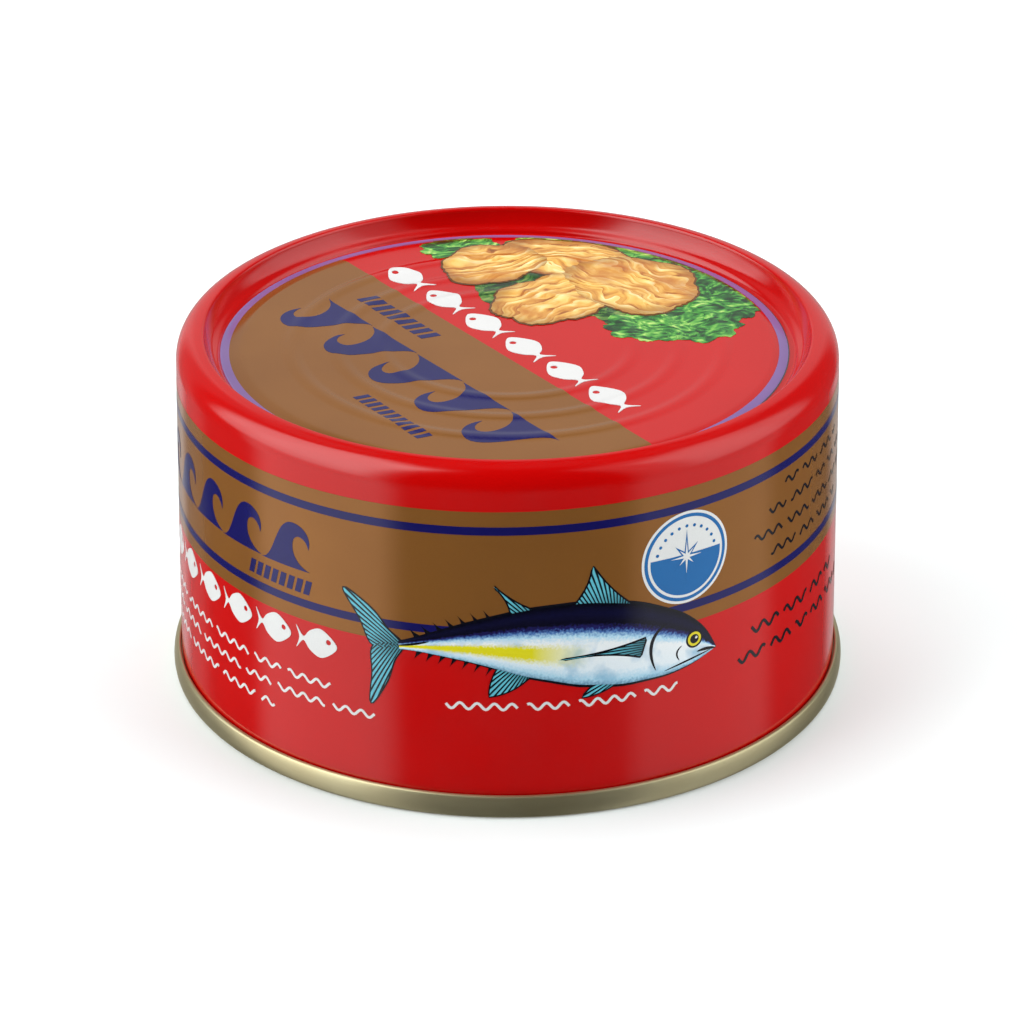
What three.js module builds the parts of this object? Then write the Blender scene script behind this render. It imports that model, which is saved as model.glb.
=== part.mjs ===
// A shut two-piece tin of tuna, millimetres, +Z up, origin on the table under the middle of the base.
// The printed drawn body carries the shoulder, the rim and the recessed rippled panel on top.
// The gold lacquered end is double-seamed on at the bottom and rests on the table.
import * as THREE from "three";

// Whole can
const HEIGHT = 46.62;
const SEGMENTS = 64;

// Printed body: the wall leans in slightly from the seam to the shoulder
const WALL_RADIUS_LOW = 42.63;
const WALL_RADIUS_HIGH = 42.0;
const SHOULDER_RADIUS = 3.37;
const SHOULDER_STEPS = 9;
const CREST_FILLET = 0.45;
const CREST_STEPS = 4;

// Inside of the rim, from the crest down to the narrow groove at the foot of the panel's slope
const INNER_WALL_TOP_RADIUS = 38.35;
const INNER_WALL_FOOT_RADIUS = 37.45;
const INNER_WALL_FOOT_Z = 44.6;
const LEDGE_INNER_RADIUS = 36.7;
const LEDGE_INNER_Z = 44.1;
const LAND_OUTER_RADIUS = 36.45;
const LAND_INNER_RADIUS = 36.15;
const LAND_Z = 43.66;

// Raised panel with gentle round ripples
const PANEL_RADIUS = 33.5;
const PANEL_Z = 44.12;
const RIPPLE_RADII = [27.3, 21.6, 16.0];
const RIPPLE_HALF_WIDTH = 1.5;
const RIPPLE_HEIGHT = 0.16;
const RIPPLE_STEPS = 6;

// Double seam at the base: its outer face is cambered and widest below its middle
const SEAM_RADIUS = 43.65;
const SEAM_WIDEST_Z = 1.25;
const SEAM_CAMBER = 0.14;
const SEAM_FACE_FOOT_Z = 0.5;
const SEAM_FACE_HEAD_Z = 2.72;
const SEAM_FACE_STEPS = 8;
const SEAM_HEIGHT = 2.98;
const SEAM_LIP_RADIUS = 42.92;
const SEAM_GROOVE_RADIUS = 42.9;
const SEAM_GROOVE_Z = 2.2;
const REST_INNER_RADIUS = 41.95;

// Recessed underside: chuck wall, countersink, panel and two expansion beads
const CHUCK_FOOT_RADIUS = 41.6;
const CHUCK_HEAD_RADIUS = 41.3;
const COUNTERSINK_OUTER_RADIUS = 40.9;
const COUNTERSINK_INNER_RADIUS = 40.2;
const COUNTERSINK_DEPTH = 3.85;
const UNDER_PANEL_RADIUS = 39.4;
const UNDER_PANEL_DEPTH = 3.15;
const BEAD_RADII = [33.0, 24.5];
const BEAD_HALF_WIDTH = 1.6;
const BEAD_HEIGHT = 0.45;
const BEAD_STEPS = 6;
const END_TOP_Z = 4.45;
const CHUCK_OUTER_RADIUS = 41.85;

// Clearance between the two pieces
const GAP = 0.3;

const PRINT_COLOUR = 0xb01010;
const LACQUER_COLOUR = 0xb3a67a;

// Points on an arc round (r, z), from one angle to another in degrees, both ends included.
function arc(r, z, radius, from, to, steps) {
  const points = [];
  for (let i = 0; i <= steps; i++) {
    const a = THREE.MathUtils.degToRad(from + ((to - from) * i) / steps);
    points.push([r + radius * Math.cos(a), z + radius * Math.sin(a)]);
  }
  return points;
}

// A smooth round swell on a flat panel, walked from its outer foot to its inner foot.
function swell(middle, halfWidth, z, height, steps) {
  const points = [];
  for (let i = 0; i <= steps; i++) {
    const t = (2 * i) / steps - 1;
    const lift = (height * (1 + Math.cos(Math.PI * t))) / 2;
    points.push([middle - t * halfWidth, z + lift]);
  }
  return points;
}

// A solid of revolution about +Z from [radius, height] points.
function turned(name, points, colour) {
  const profile = points.map(([r, z]) => new THREE.Vector2(r, z));
  const geometry = new THREE.LatheGeometry(profile, SEGMENTS);
  geometry.rotateX(Math.PI / 2);
  const material = new THREE.MeshStandardMaterial({ color: colour });
  const mesh = new THREE.Mesh(geometry, material);
  mesh.name = name;
  return mesh;
}

// Body wall radius at a height.
function wallRadius(z) {
  const top = HEIGHT - SHOULDER_RADIUS;
  return WALL_RADIUS_LOW + ((WALL_RADIUS_HIGH - WALL_RADIUS_LOW) * z) / top;
}

// Radius of the seam's cambered outer face at a height.
function seamFaceRadius(z) {
  return SEAM_RADIUS - SEAM_CAMBER * (z - SEAM_WIDEST_Z) ** 2;
}

// Arc that leads from the seam's face, at a height on it, to its level edge at another height.
function seamRounding(z, edgeZ, steps) {
  const lean = Math.atan(2 * SEAM_CAMBER * (z - SEAM_WIDEST_Z));
  const radius = Math.abs(edgeZ - z) / (1 - Math.abs(Math.sin(lean)));
  const side = Math.sign(edgeZ - z);
  const middleR = seamFaceRadius(z) - radius * Math.cos(lean);
  return arc(middleR, edgeZ - side * radius, radius, THREE.MathUtils.radToDeg(lean), 90 * side, steps);
}

// Drawn body, solid because it is shut: its foot stands in the groove of the seam.
function canBody() {
  const foot = SEAM_GROOVE_Z + GAP;
  const roof = END_TOP_Z + GAP;
  const shoulderZ = HEIGHT - SHOULDER_RADIUS;
  const shoulderR = WALL_RADIUS_HIGH - SHOULDER_RADIUS;
  const crestR = INNER_WALL_TOP_RADIUS + CREST_FILLET;
  const underside = [
    [0, roof],
    [CHUCK_OUTER_RADIUS + GAP, roof],
    [CHUCK_OUTER_RADIUS + GAP, foot],
    [wallRadius(foot), foot],
  ];
  const shoulder = arc(shoulderR, shoulderZ, SHOULDER_RADIUS, 0, 88, SHOULDER_STEPS);
  const crest = arc(crestR, HEIGHT - CREST_FILLET, CREST_FILLET, 90, 180, CREST_STEPS);
  const rimInside = [
    [INNER_WALL_FOOT_RADIUS, INNER_WALL_FOOT_Z],
    [LEDGE_INNER_RADIUS, LEDGE_INNER_Z],
    [LAND_OUTER_RADIUS, LAND_Z],
    [LAND_INNER_RADIUS, LAND_Z],
    [PANEL_RADIUS, PANEL_Z],
  ];
  const ripples = RIPPLE_RADII.flatMap((r) =>
    swell(r, RIPPLE_HALF_WIDTH, PANEL_Z, RIPPLE_HEIGHT, RIPPLE_STEPS),
  );
  const profile = [...underside, ...shoulder, ...crest, ...rimInside, ...ripples, [0, PANEL_Z]];
  return turned("can_body", profile, PRINT_COLOUR);
}

// Lacquered bottom end: seam ring with a flat resting face, recessed panel inside it.
function seamedEnd() {
  const beads = [...BEAD_RADII]
    .reverse()
    .flatMap((r) =>
      swell(r, BEAD_HALF_WIDTH, UNDER_PANEL_DEPTH, -BEAD_HEIGHT, BEAD_STEPS).reverse(),
    );
  const underside = [
    [0, UNDER_PANEL_DEPTH],
    ...beads,
    [UNDER_PANEL_RADIUS, UNDER_PANEL_DEPTH],
    [COUNTERSINK_INNER_RADIUS, COUNTERSINK_DEPTH],
    [COUNTERSINK_OUTER_RADIUS, COUNTERSINK_DEPTH],
    [CHUCK_HEAD_RADIUS, COUNTERSINK_DEPTH - 0.45],
    [CHUCK_FOOT_RADIUS, 0.35],
    [REST_INNER_RADIUS, 0],
  ];
  const outerFoot = seamRounding(SEAM_FACE_FOOT_Z, 0, 4).reverse();
  const outerHead = seamRounding(SEAM_FACE_HEAD_Z, SEAM_HEIGHT, 4);
  const outerFace = [];
  for (let i = 1; i < SEAM_FACE_STEPS; i++) {
    const z = SEAM_FACE_FOOT_Z + ((SEAM_FACE_HEAD_Z - SEAM_FACE_FOOT_Z) * i) / SEAM_FACE_STEPS;
    outerFace.push([seamFaceRadius(z), z]);
  }
  const groove = [
    [SEAM_LIP_RADIUS, SEAM_HEIGHT - 0.05],
    [SEAM_GROOVE_RADIUS, SEAM_HEIGHT - 0.2],
    [SEAM_GROOVE_RADIUS, SEAM_GROOVE_Z],
    [CHUCK_OUTER_RADIUS, SEAM_GROOVE_Z],
    [CHUCK_OUTER_RADIUS, END_TOP_Z],
    [0, END_TOP_Z],
  ];
  const profile = [...underside, ...outerFoot, ...outerFace, ...outerHead, ...groove];
  return turned("seamed_end", profile, LACQUER_COLOUR);
}

const can = new THREE.Group();
can.name = "tuna_can";
can.add(canBody());
can.add(seamedEnd());

export default can;
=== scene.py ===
"""A shut printed tin of tuna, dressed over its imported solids, in metres with +Z up.

Sizes in the classes are millimetres. Prints are thin closed sheets of ink that are laid out flat
and then laid on the wall or on the top panel.
"""

import logging
import math
from collections.abc import Callable
from dataclasses import dataclass, field, replace
from enum import Enum

import bmesh
import bpy
import numpy as np
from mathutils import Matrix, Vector
from mathutils.geometry import delaunay_2d_cdt


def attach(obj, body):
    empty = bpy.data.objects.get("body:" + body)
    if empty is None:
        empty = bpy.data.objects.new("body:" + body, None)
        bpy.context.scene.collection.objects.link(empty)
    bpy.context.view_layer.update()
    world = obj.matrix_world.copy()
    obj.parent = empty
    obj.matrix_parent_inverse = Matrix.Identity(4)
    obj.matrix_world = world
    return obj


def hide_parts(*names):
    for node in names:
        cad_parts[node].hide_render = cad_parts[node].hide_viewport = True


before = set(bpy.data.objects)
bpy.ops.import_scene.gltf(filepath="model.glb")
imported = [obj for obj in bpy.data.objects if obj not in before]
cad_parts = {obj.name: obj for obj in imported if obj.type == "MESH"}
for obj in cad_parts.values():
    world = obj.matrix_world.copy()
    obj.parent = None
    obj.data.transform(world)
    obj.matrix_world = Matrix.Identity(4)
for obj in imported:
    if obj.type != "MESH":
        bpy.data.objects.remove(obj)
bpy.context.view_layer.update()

MM = 0.001
PICTURE = "picture_place"
LOG = logging.getLogger("tuna_can")

# Depth of a print sheet's lower face under the metal, and the angle from which edges stay sharp
SINK = 0.02
SHARP_ANGLE = 40.0

Socket = bpy.types.NodeSocket
Material = bpy.types.Material
Piece = bpy.types.Object
Pair = tuple[float, float]
Triple = tuple[float, float, float]
Colour = Triple


# Colour and node helpers


def linear(colour: Colour) -> tuple[float, float, float, float]:
    """Turn a screen colour into the linear one that a shader takes.

    Args:
        colour: Red, green and blue from 0 to 255.

    Returns:
        Linear red, green, blue and an alpha of 1.
    """
    parts = []
    for value in colour:
        c = value / 255.0
        parts.append(c / 12.92 if c <= 0.04045 else ((c + 0.055) / 1.055) ** 2.4)
    return (parts[0], parts[1], parts[2], 1.0)


class NodeSheet:
    """A node tree under construction, with short calls for adding and joining nodes."""

    def __init__(self, tree: bpy.types.NodeTree) -> None:
        """Keep the tree that the calls add to."""
        self.tree = tree

    def add(self, kind: str, **settings: object) -> bpy.types.Node:
        """Add a node and set its own properties.

        Args:
            kind: The node's type name.
            settings: Properties of the node itself.

        Returns:
            The new node.
        """
        node = self.tree.nodes.new(kind)
        for name, value in settings.items():
            setattr(node, name, value)
        return node

    def feed(self, node: bpy.types.Node, name: str, value: object) -> None:
        """Link an output to a named input, or set the input's value.

        Args:
            node: The node that takes the value.
            name: The input's name.
            value: An output socket, or a plain value.
        """
        socket = node.inputs[name]
        if isinstance(value, Socket):
            self.tree.links.new(value, socket)
        else:
            socket.default_value = value

    def math(self, operation: str, *values: object) -> Socket:
        """Add a Math node.

        Args:
            operation: Its operation.
            values: One to three sockets or numbers.

        Returns:
            The result's socket.
        """
        node = self.add("ShaderNodeMath", operation=operation)
        for index, value in enumerate(values):
            if isinstance(value, Socket):
                self.tree.links.new(value, node.inputs[index])
            else:
                node.inputs[index].default_value = value
        return node.outputs[0]

    def times(self, first: object, second: object) -> Socket:
        """Multiply two sockets or numbers."""
        return self.math("MULTIPLY", first, second)

    def plus(self, first: object, second: object) -> Socket:
        """Add two sockets or numbers."""
        return self.math("ADD", first, second)

    def bump(self, strength: float, distance: float, height: Socket) -> Socket:
        """Add a bump and return its normal.

        Args:
            strength: Its strength.
            distance: Height of its relief in metres.
            height: The relief from 0 to 1.

        Returns:
            The bent normal's socket.
        """
        node = self.add("ShaderNodeBump")
        self.feed(node, "Strength", strength)
        self.feed(node, "Distance", distance)
        self.feed(node, "Height", height)
        return node.outputs["Normal"]

    def parts(self, vector: Socket) -> list[Socket]:
        """Split a vector into its three values.

        Args:
            vector: The vector's socket.

        Returns:
            Sockets of its values.
        """
        node = self.add("ShaderNodeSeparateXYZ")
        self.feed(node, "Vector", vector)
        return [node.outputs[k] for k in "XYZ"]

    def vector(self, x: object = 0.0, y: object = 0.0, z: object = 0.0) -> Socket:
        """Join three sockets or numbers into a vector.

        Args:
            x: First value.
            y: Second value.
            z: Third value.

        Returns:
            The vector's socket.
        """
        node = self.add("ShaderNodeCombineXYZ")
        for name, value in zip("XYZ", (x, y, z)):
            self.feed(node, name, value)
        return node.outputs["Vector"]


def new_material(name: str) -> tuple[Material, NodeSheet, bpy.types.Node, Socket]:
    """Start a material.

    Args:
        name: Its name.

    Returns:
        The material, its tree, its shader and the object coordinates.
    """
    material = bpy.data.materials.new(name)
    material.use_nodes = True
    sheet = NodeSheet(material.node_tree)
    place = sheet.add("ShaderNodeTexCoord").outputs["Object"]
    return material, sheet, material.node_tree.nodes["Principled BSDF"], place


def noise_field(
    sheet: NodeSheet, place: Socket, scale: float, detail: float = 2.0, distortion: float = 0.0
) -> Socket:
    """Add a noise that reads a place.

    Args:
        sheet: The material's tree.
        place: The coordinates to read.
        scale: Features to the metre.
        detail: Octaves.
        distortion: How far it is drawn out of shape.

    Returns:
        The noise value's socket.
    """
    node = sheet.add("ShaderNodeTexNoise")
    sheet.feed(node, "Vector", place)
    sheet.feed(node, "Scale", scale)
    sheet.feed(node, "Detail", detail)
    sheet.feed(node, "Distortion", distortion)
    return node.outputs["Fac"]


def blend_colours(sheet: NodeSheet, amount: object, first: object, second: object) -> Socket:
    """Mix two colours.

    Args:
        sheet: The material's tree.
        amount: Share of the second colour, a socket or a number.
        first: A colour or a colour socket.
        second: A colour or a colour socket.

    Returns:
        The mixed colour's socket.
    """
    node = sheet.add("ShaderNodeMix", data_type="RGBA")
    for index, value in ((0, amount), (6, first), (7, second)):
        if isinstance(value, Socket):
            sheet.tree.links.new(value, node.inputs[index])
        else:
            node.inputs[index].default_value = value
    return node.outputs[2]


def spread(sheet: NodeSheet, value: Socket, low: float, high: float, to: Pair) -> Socket:
    """Map a range of values onto another, held at its ends.

    Args:
        sheet: The material's tree.
        value: The value to map.
        low: Where the old range starts.
        high: Where the old range ends.
        to: The new range.

    Returns:
        The mapped value's socket.
    """
    node = sheet.add("ShaderNodeMapRange")
    sheet.feed(node, "Value", value)
    sheet.feed(node, "From Min", low)
    sheet.feed(node, "From Max", high)
    sheet.feed(node, "To Min", to[0])
    sheet.feed(node, "To Max", to[1])
    return node.outputs["Result"]


def ramp(sheet: NodeSheet, value: Socket, stops: tuple[tuple[float, Colour], ...]) -> Socket:
    """Turn a value from 0 to 1 into a colour.

    Args:
        sheet: The material's tree.
        value: The value to colour.
        stops: Places on the ramp and their screen colours, in order.

    Returns:
        The colour's socket.
    """
    node = sheet.add("ShaderNodeValToRGB")
    keys = node.color_ramp.elements
    (first, start), *between, (last, end) = stops
    keys[0].position, keys[0].color = first, linear(start)
    keys[1].position, keys[1].color = last, linear(end)
    for place, colour in between:
        keys.new(place).color = linear(colour)
    sheet.feed(node, "Fac", value)
    return node.outputs["Color"]


def picture_place(sheet: NodeSheet) -> list[Socket]:
    """Read the picture place that a sheet's corners carry.

    Args:
        sheet: The material's tree.

    Returns:
        Its three values.
    """
    mark = sheet.add("ShaderNodeAttribute", attribute_name=PICTURE)
    return sheet.parts(mark.outputs["Vector"])


# Finishes


class Ink(Enum):
    """Inks of the print, by the names of their materials."""

    TAN = "tan"
    NAVY = "navy"
    WHITE = "white"
    BLACK = "ink_black"
    GREY = "grey"
    VIOLET = "violet"
    SEA = "sea_blue"
    YELLOW = "yellow"
    FISH = "fish_skin"
    FIN = "fin_rays"
    LEAF = "ruffled_leaf"
    SHADE = "serving_shade"
    BED = "serving_bed"
    FLESH = "golden_flesh"


InkSet = dict[Ink, Material]


@dataclass(frozen=True)
class PrintInk:
    """Gloss ink under clear varnish on tinplate, with print grain and a faint orange peel."""

    name: str
    colour: Colour = (217, 217, 216)
    second: Colour | None = None
    grain: float = 0.05
    roughness: float = 0.14
    refraction: float = 1.6
    peel: float = 0.01
    metal: float = 0.0
    cloud_scale: float = 70.0
    grain_scale: float = 7500.0
    smear_scale: float = 140.0
    peel_scale: float = 900.0
    peel_height: float = 0.0002

    def tone(self, sheet: NodeSheet, place: Socket) -> Socket:
        """Build the ink's colour, here two near tones in broad clouds.

        Args:
            sheet: The material's tree.
            place: Object coordinates.

        Returns:
            The colour's socket.
        """
        mottle = spread(sheet, noise_field(sheet, place, self.cloud_scale), 0.3, 0.7, (0.0, 1.0))
        return blend_colours(sheet, mottle, linear(self.colour), linear(self.second or self.colour))

    def build(self) -> Material:
        """Make the material.

        Returns:
            A new material named for the ink.
        """
        material, sheet, shader, place = new_material(self.name)
        tone = self.tone(sheet, place)
        speck = spread(sheet, noise_field(sheet, place, self.grain_scale, 1.0), 0.3, 0.7, (0.0, 1.0))
        dim = sheet.add("ShaderNodeHueSaturation")
        sheet.feed(dim, "Color", tone)
        sheet.feed(dim, "Value", sheet.math("SUBTRACT", 1.0, sheet.times(speck, self.grain)))
        sheet.feed(shader, "Base Color", dim.outputs["Color"])
        smear = noise_field(sheet, place, self.smear_scale, 3.0)
        gloss = (self.roughness * 0.85, self.roughness * 1.2)
        sheet.feed(shader, "Roughness", spread(sheet, smear, 0.3, 0.7, gloss))
        sheet.feed(shader, "IOR", self.refraction)
        sheet.feed(shader, "Metallic", self.metal)
        relief = noise_field(sheet, place, self.peel_scale)
        sheet.feed(shader, "Normal", sheet.bump(self.peel, self.peel_height, relief))
        return material


@dataclass(frozen=True)
class FishSkin(PrintInk):
    """Print of a fish's side: dark back, blue turn, pale flank and a yellow line.

    Its picture places say how far along the fish they are, from 0 at the nose, and how high, from
    -1 at the belly to 1 at the back.
    """

    stops: tuple[tuple[float, Colour], ...] = (
        (0.0, (88, 132, 160)),
        (0.07, (160, 200, 220)),
        (0.2, (216, 226, 232)),
        (0.52, (226, 230, 232)),
        (0.6, (165, 205, 226)),
        (0.66, (70, 110, 170)),
        (0.7, (32, 30, 92)),
        (0.76, (10, 9, 26)),
        (0.88, (12, 12, 46)),
        (1.0, (6, 6, 14)),
    )
    line: Colour = (214, 205, 22)
    cool: Colour = (120, 168, 198)

    def tone(self, sheet: NodeSheet, place: Socket) -> Socket:
        """Build the fish's colours, with the dots of a coarse screen where they turn.

        Args:
            sheet: The material's tree.
            place: Object coordinates.

        Returns:
            The colour's socket.
        """
        along, share, _ = picture_place(sheet)
        screen = sheet.math("SUBTRACT", noise_field(sheet, place, 3400.0, 1.0), 0.5)
        share = sheet.plus(share, sheet.times(screen, 0.22))
        skin = ramp(sheet, spread(sheet, share, -1.0, 1.0, (0.0, 1.0)), self.stops)
        patch = spread(sheet, noise_field(sheet, place, 250.0, 3.0), 0.5, 0.66, (0.0, 0.75))
        patch = sheet.times(patch, spread(sheet, share, 0.0, 0.16, (1.0, 0.0)))
        skin = blend_colours(sheet, patch, skin, linear(self.cool))
        low = spread(sheet, share, -0.62, -0.42, (0.0, 1.0))
        high = spread(sheet, share, -0.12, 0.02, (1.0, 0.0))
        start = spread(sheet, along, 0.42, 0.6, (0.0, 1.0))
        amount = sheet.times(sheet.times(low, high), start)
        return blend_colours(sheet, amount, skin, linear(self.line))


@dataclass(frozen=True)
class FinInk(PrintInk):
    """Print of a fin: pale blue rays on a dark web.

    Its picture places say how far across and how far along the fin they are.
    """

    pitch: float = 0.62
    web: Colour = (13, 14, 20)
    rays: Colour = (92, 178, 196)

    def tone(self, sheet: NodeSheet, place: Socket) -> Socket:
        """Build the rays.

        Args:
            sheet: The material's tree.
            place: Object coordinates.

        Returns:
            The colour's socket.
        """
        across, along, _ = picture_place(sheet)
        wave = sheet.math("SINE", sheet.times(across, 2 * math.pi / self.pitch))
        patch = sheet.times(noise_field(sheet, place, 500.0, 2.0), 0.9)
        ray = spread(sheet, sheet.plus(wave, patch), -0.15, 0.75, (0.0, 1.0))
        ray = sheet.times(ray, spread(sheet, along, 0.0, 0.45, (0.35, 1.0)))
        return blend_colours(sheet, ray, linear(self.web), linear(self.rays))


@dataclass(frozen=True)
class GoldenFlesh(PrintInk):
    """Print of cooked flakes: pale strips with brown creases, toasted in patches.

    Its picture places are millimetres along and across the strips, and the depth inside the edge.
    """

    stops: tuple[tuple[float, Colour], ...] = (
        (0.0, (104, 54, 16)),
        (0.16, (166, 98, 34)),
        (0.34, (206, 146, 62)),
        (0.52, (226, 176, 86)),
        (0.72, (240, 206, 124)),
        (0.92, (248, 228, 172)),
    )
    toast: Colour = (184, 112, 42)
    edge: Colour = (128, 74, 24)

    def tone(self, sheet: NodeSheet, place: Socket) -> Socket:
        """Build the strips, the toasted patches and the darker edge.

        Args:
            sheet: The material's tree.
            place: Object coordinates.

        Returns:
            The colour's socket.
        """
        along, across, depth = picture_place(sheet)
        bow = sheet.times(noise_field(sheet, place, 130.0, 2.0), 9.0)
        level = sheet.plus(across, bow)
        grid = sheet.vector(sheet.times(along, 0.3), level)
        strips = sheet.add("ShaderNodeTexWave", wave_type="BANDS", bands_direction="Y", wave_profile="SAW")
        sheet.feed(strips, "Vector", grid)
        sheet.feed(strips, "Scale", 0.16)
        sheet.feed(strips, "Distortion", 9.0)
        sheet.feed(strips, "Detail", 4.0)
        sheet.feed(strips, "Detail Scale", 1.6)
        streak = noise_field(sheet, grid, 0.9, 5.0, 1.2)
        relief = sheet.times(spread(sheet, streak, 0.3, 0.7, (0.0, 1.0)), 0.55)
        relief = sheet.plus(relief, sheet.times(strips.outputs["Fac"], 0.45))
        flake = ramp(sheet, relief, self.stops)
        patch = spread(sheet, noise_field(sheet, place, 190.0, 3.0), 0.46, 0.66, (0.0, 0.7))
        flake = blend_colours(sheet, patch, flake, linear(self.toast))
        rim = spread(sheet, depth, 0.0, 0.22, (0.6, 0.0))
        return blend_colours(sheet, rim, flake, linear(self.edge))


@dataclass(frozen=True)
class RuffledLeaf(PrintInk):
    """Print of curled salad leaves: deep green folds with pale ribs.

    Its picture places are millimetres along and across the leaf, and the depth inside the edge.
    """

    stops: tuple[tuple[float, Colour], ...] = (
        (0.0, (4, 24, 8)),
        (0.36, (10, 52, 18)),
        (0.47, (30, 98, 34)),
        (0.56, (60, 140, 50)),
        (0.66, (118, 184, 76)),
        (0.8, (200, 224, 128)),
    )

    def tone(self, sheet: NodeSheet, place: Socket) -> Socket:
        """Build the folds and the ribs.

        Args:
            sheet: The material's tree.
            place: Object coordinates.

        Returns:
            The colour's socket.
        """
        along, across, depth = picture_place(sheet)
        grid = sheet.vector(sheet.times(along, 0.7), across)
        fold = noise_field(sheet, grid, 0.42, 4.0, 2.2)
        cells = sheet.add("ShaderNodeTexVoronoi", feature="DISTANCE_TO_EDGE")
        sheet.feed(cells, "Vector", grid)
        sheet.feed(cells, "Scale", 0.36)
        rib = spread(sheet, cells.outputs["Distance"], 0.0, 0.09, (0.12, 0.0))
        broad = spread(sheet, noise_field(sheet, place, 150.0, 2.0), 0.38, 0.62, (-0.09, 0.05))
        level = sheet.plus(sheet.plus(fold, rib), broad)
        level = sheet.plus(level, spread(sheet, depth, 0.0, 0.25, (0.05, 0.0)))
        return ramp(sheet, level, self.stops)


@dataclass(frozen=True)
class GoldLacquer:
    """Clear gold lacquer over rolled tinplate, with fine tool lines round the can."""

    name: str = "gold_lacquer"
    colour: Colour = (207, 198, 158)
    worn: Colour = (199, 188, 147)
    roughness: Pair = (0.32, 0.4)
    metal: float = 0.85
    cloud_scale: float = 90.0
    line_scale: float = 9000.0
    line_strength: float = 0.05
    line_height: float = 0.0001

    def build(self) -> Material:
        """Make the material.

        Returns:
            A new metal material.
        """
        material, sheet, shader, place = new_material(self.name)
        x, y, z = sheet.parts(place)
        squares = sheet.plus(sheet.times(x, x), sheet.times(y, y))
        lines = sheet.vector(
            sheet.times(sheet.math("SQRT", squares), self.line_scale),
            sheet.times(z, self.line_scale),
            sheet.times(sheet.math("ARCTAN2", x, y), 3.0),
        )
        tool = noise_field(sheet, lines, 1.0, 2.0)
        cloud = spread(sheet, noise_field(sheet, place, self.cloud_scale, 3.0), 0.35, 0.65, (0.0, 1.0))
        tone = blend_colours(sheet, cloud, linear(self.colour), linear(self.worn))
        sheet.feed(shader, "Base Color", tone)
        sheet.feed(shader, "Metallic", self.metal)
        sheet.feed(shader, "Roughness", spread(sheet, tool, 0.3, 0.7, self.roughness))
        sheet.feed(shader, "Normal", sheet.bump(self.line_strength, self.line_height, tool))
        return material


@dataclass(frozen=True)
class PaleFloor:
    """Plain pale matt floor, lit a little from below like a light table."""

    name: str = "pale_floor"
    colour: Colour = (230, 237, 237)
    glow: float = 0.09
    roughness: float = 0.9
    gloss: float = 0.1

    def build(self) -> Material:
        """Make the material.

        Returns:
            A new matt material.
        """
        material, sheet, shader, place = new_material(self.name)
        cloud = noise_field(sheet, place, 6.0, 2.0)
        pale = linear(self.colour)
        tone = blend_colours(sheet, cloud, pale, tuple(0.985 * c for c in pale[:3]) + (1.0,))
        sheet.feed(shader, "Base Color", tone)
        sheet.feed(shader, "Roughness", self.roughness)
        sheet.feed(shader, "Emission Color", (1.0, 1.0, 1.0, 1.0))
        sheet.feed(shader, "Emission Strength", self.glow)
        sheet.feed(shader, "Specular IOR Level", self.gloss)
        return material


# Objects and turned skins


def linked(name: str, data: bpy.types.ID) -> Piece:
    """Make an object and link it to the scene.

    Args:
        name: Its name.
        data: Its mesh, light or camera.

    Returns:
        The new object.
    """
    made = bpy.data.objects.new(name, data)
    bpy.context.scene.collection.objects.link(made)
    return made


def aim(thing: Piece, place: Triple, target: Triple) -> None:
    """Put a light or a camera in its place and turn it to a target.

    Args:
        thing: The object.
        place: Where it stands, in metres.
        target: What it looks at.
    """
    thing.location = place
    way = Vector(target) - Vector(place)
    thing.rotation_euler = way.to_track_quat("-Z", "Y").to_euler()


def swell(r: float, middles: tuple[float, ...], half: float, height: float) -> float:
    """Height of round ripples or beads over their panel.

    Args:
        r: Distance from the axis.
        middles: Radii of their middles.
        half: Half the width of one.
        height: Height in the middle.

    Returns:
        Height at that distance.
    """
    near = [abs(r - middle) / half for middle in middles]
    return sum(height * (1 + math.cos(math.pi * t)) / 2 for t in near if t < 1)


def arc(r: float, z: float, radius: float, start: float, end: float, steps: int) -> list[Pair]:
    """Points on an arc in the turning plane.

    Args:
        r: Centre's distance from the axis.
        z: Centre's height.
        radius: Radius of the arc.
        start: First angle in degrees.
        end: Last angle in degrees.
        steps: Number of chords.

    Returns:
        Points with both ends.
    """
    points = []
    for i in range(steps + 1):
        a = math.radians(start + (end - start) * i / steps)
        points.append((r + radius * math.cos(a), z + radius * math.sin(a)))
    return points


def eased(points: list[Pair], reach: float, steps: int = 6) -> list[Pair]:
    """Round the inner corners of a polyline.

    Args:
        points: Corners in order.
        reach: How far from a corner its rounding starts.
        steps: Chords to a corner.

    Returns:
        The rounded polyline.
    """
    soft = [points[0]]
    for before, corner, after in zip(points, points[1:], points[2:]):
        c = np.array(corner)
        legs = [np.array(p) - c for p in (before, after)]
        ends = [c + leg * min(reach, 0.45 * np.hypot(*leg)) / np.hypot(*leg) for leg in legs]
        for i in range(steps + 1):
            t = i / steps
            p = (1 - t) ** 2 * ends[0] + 2 * t * (1 - t) * c + t * t * ends[1]
            soft.append((float(p[0]), float(p[1])))
    soft.append(points[-1])
    return soft


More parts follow.
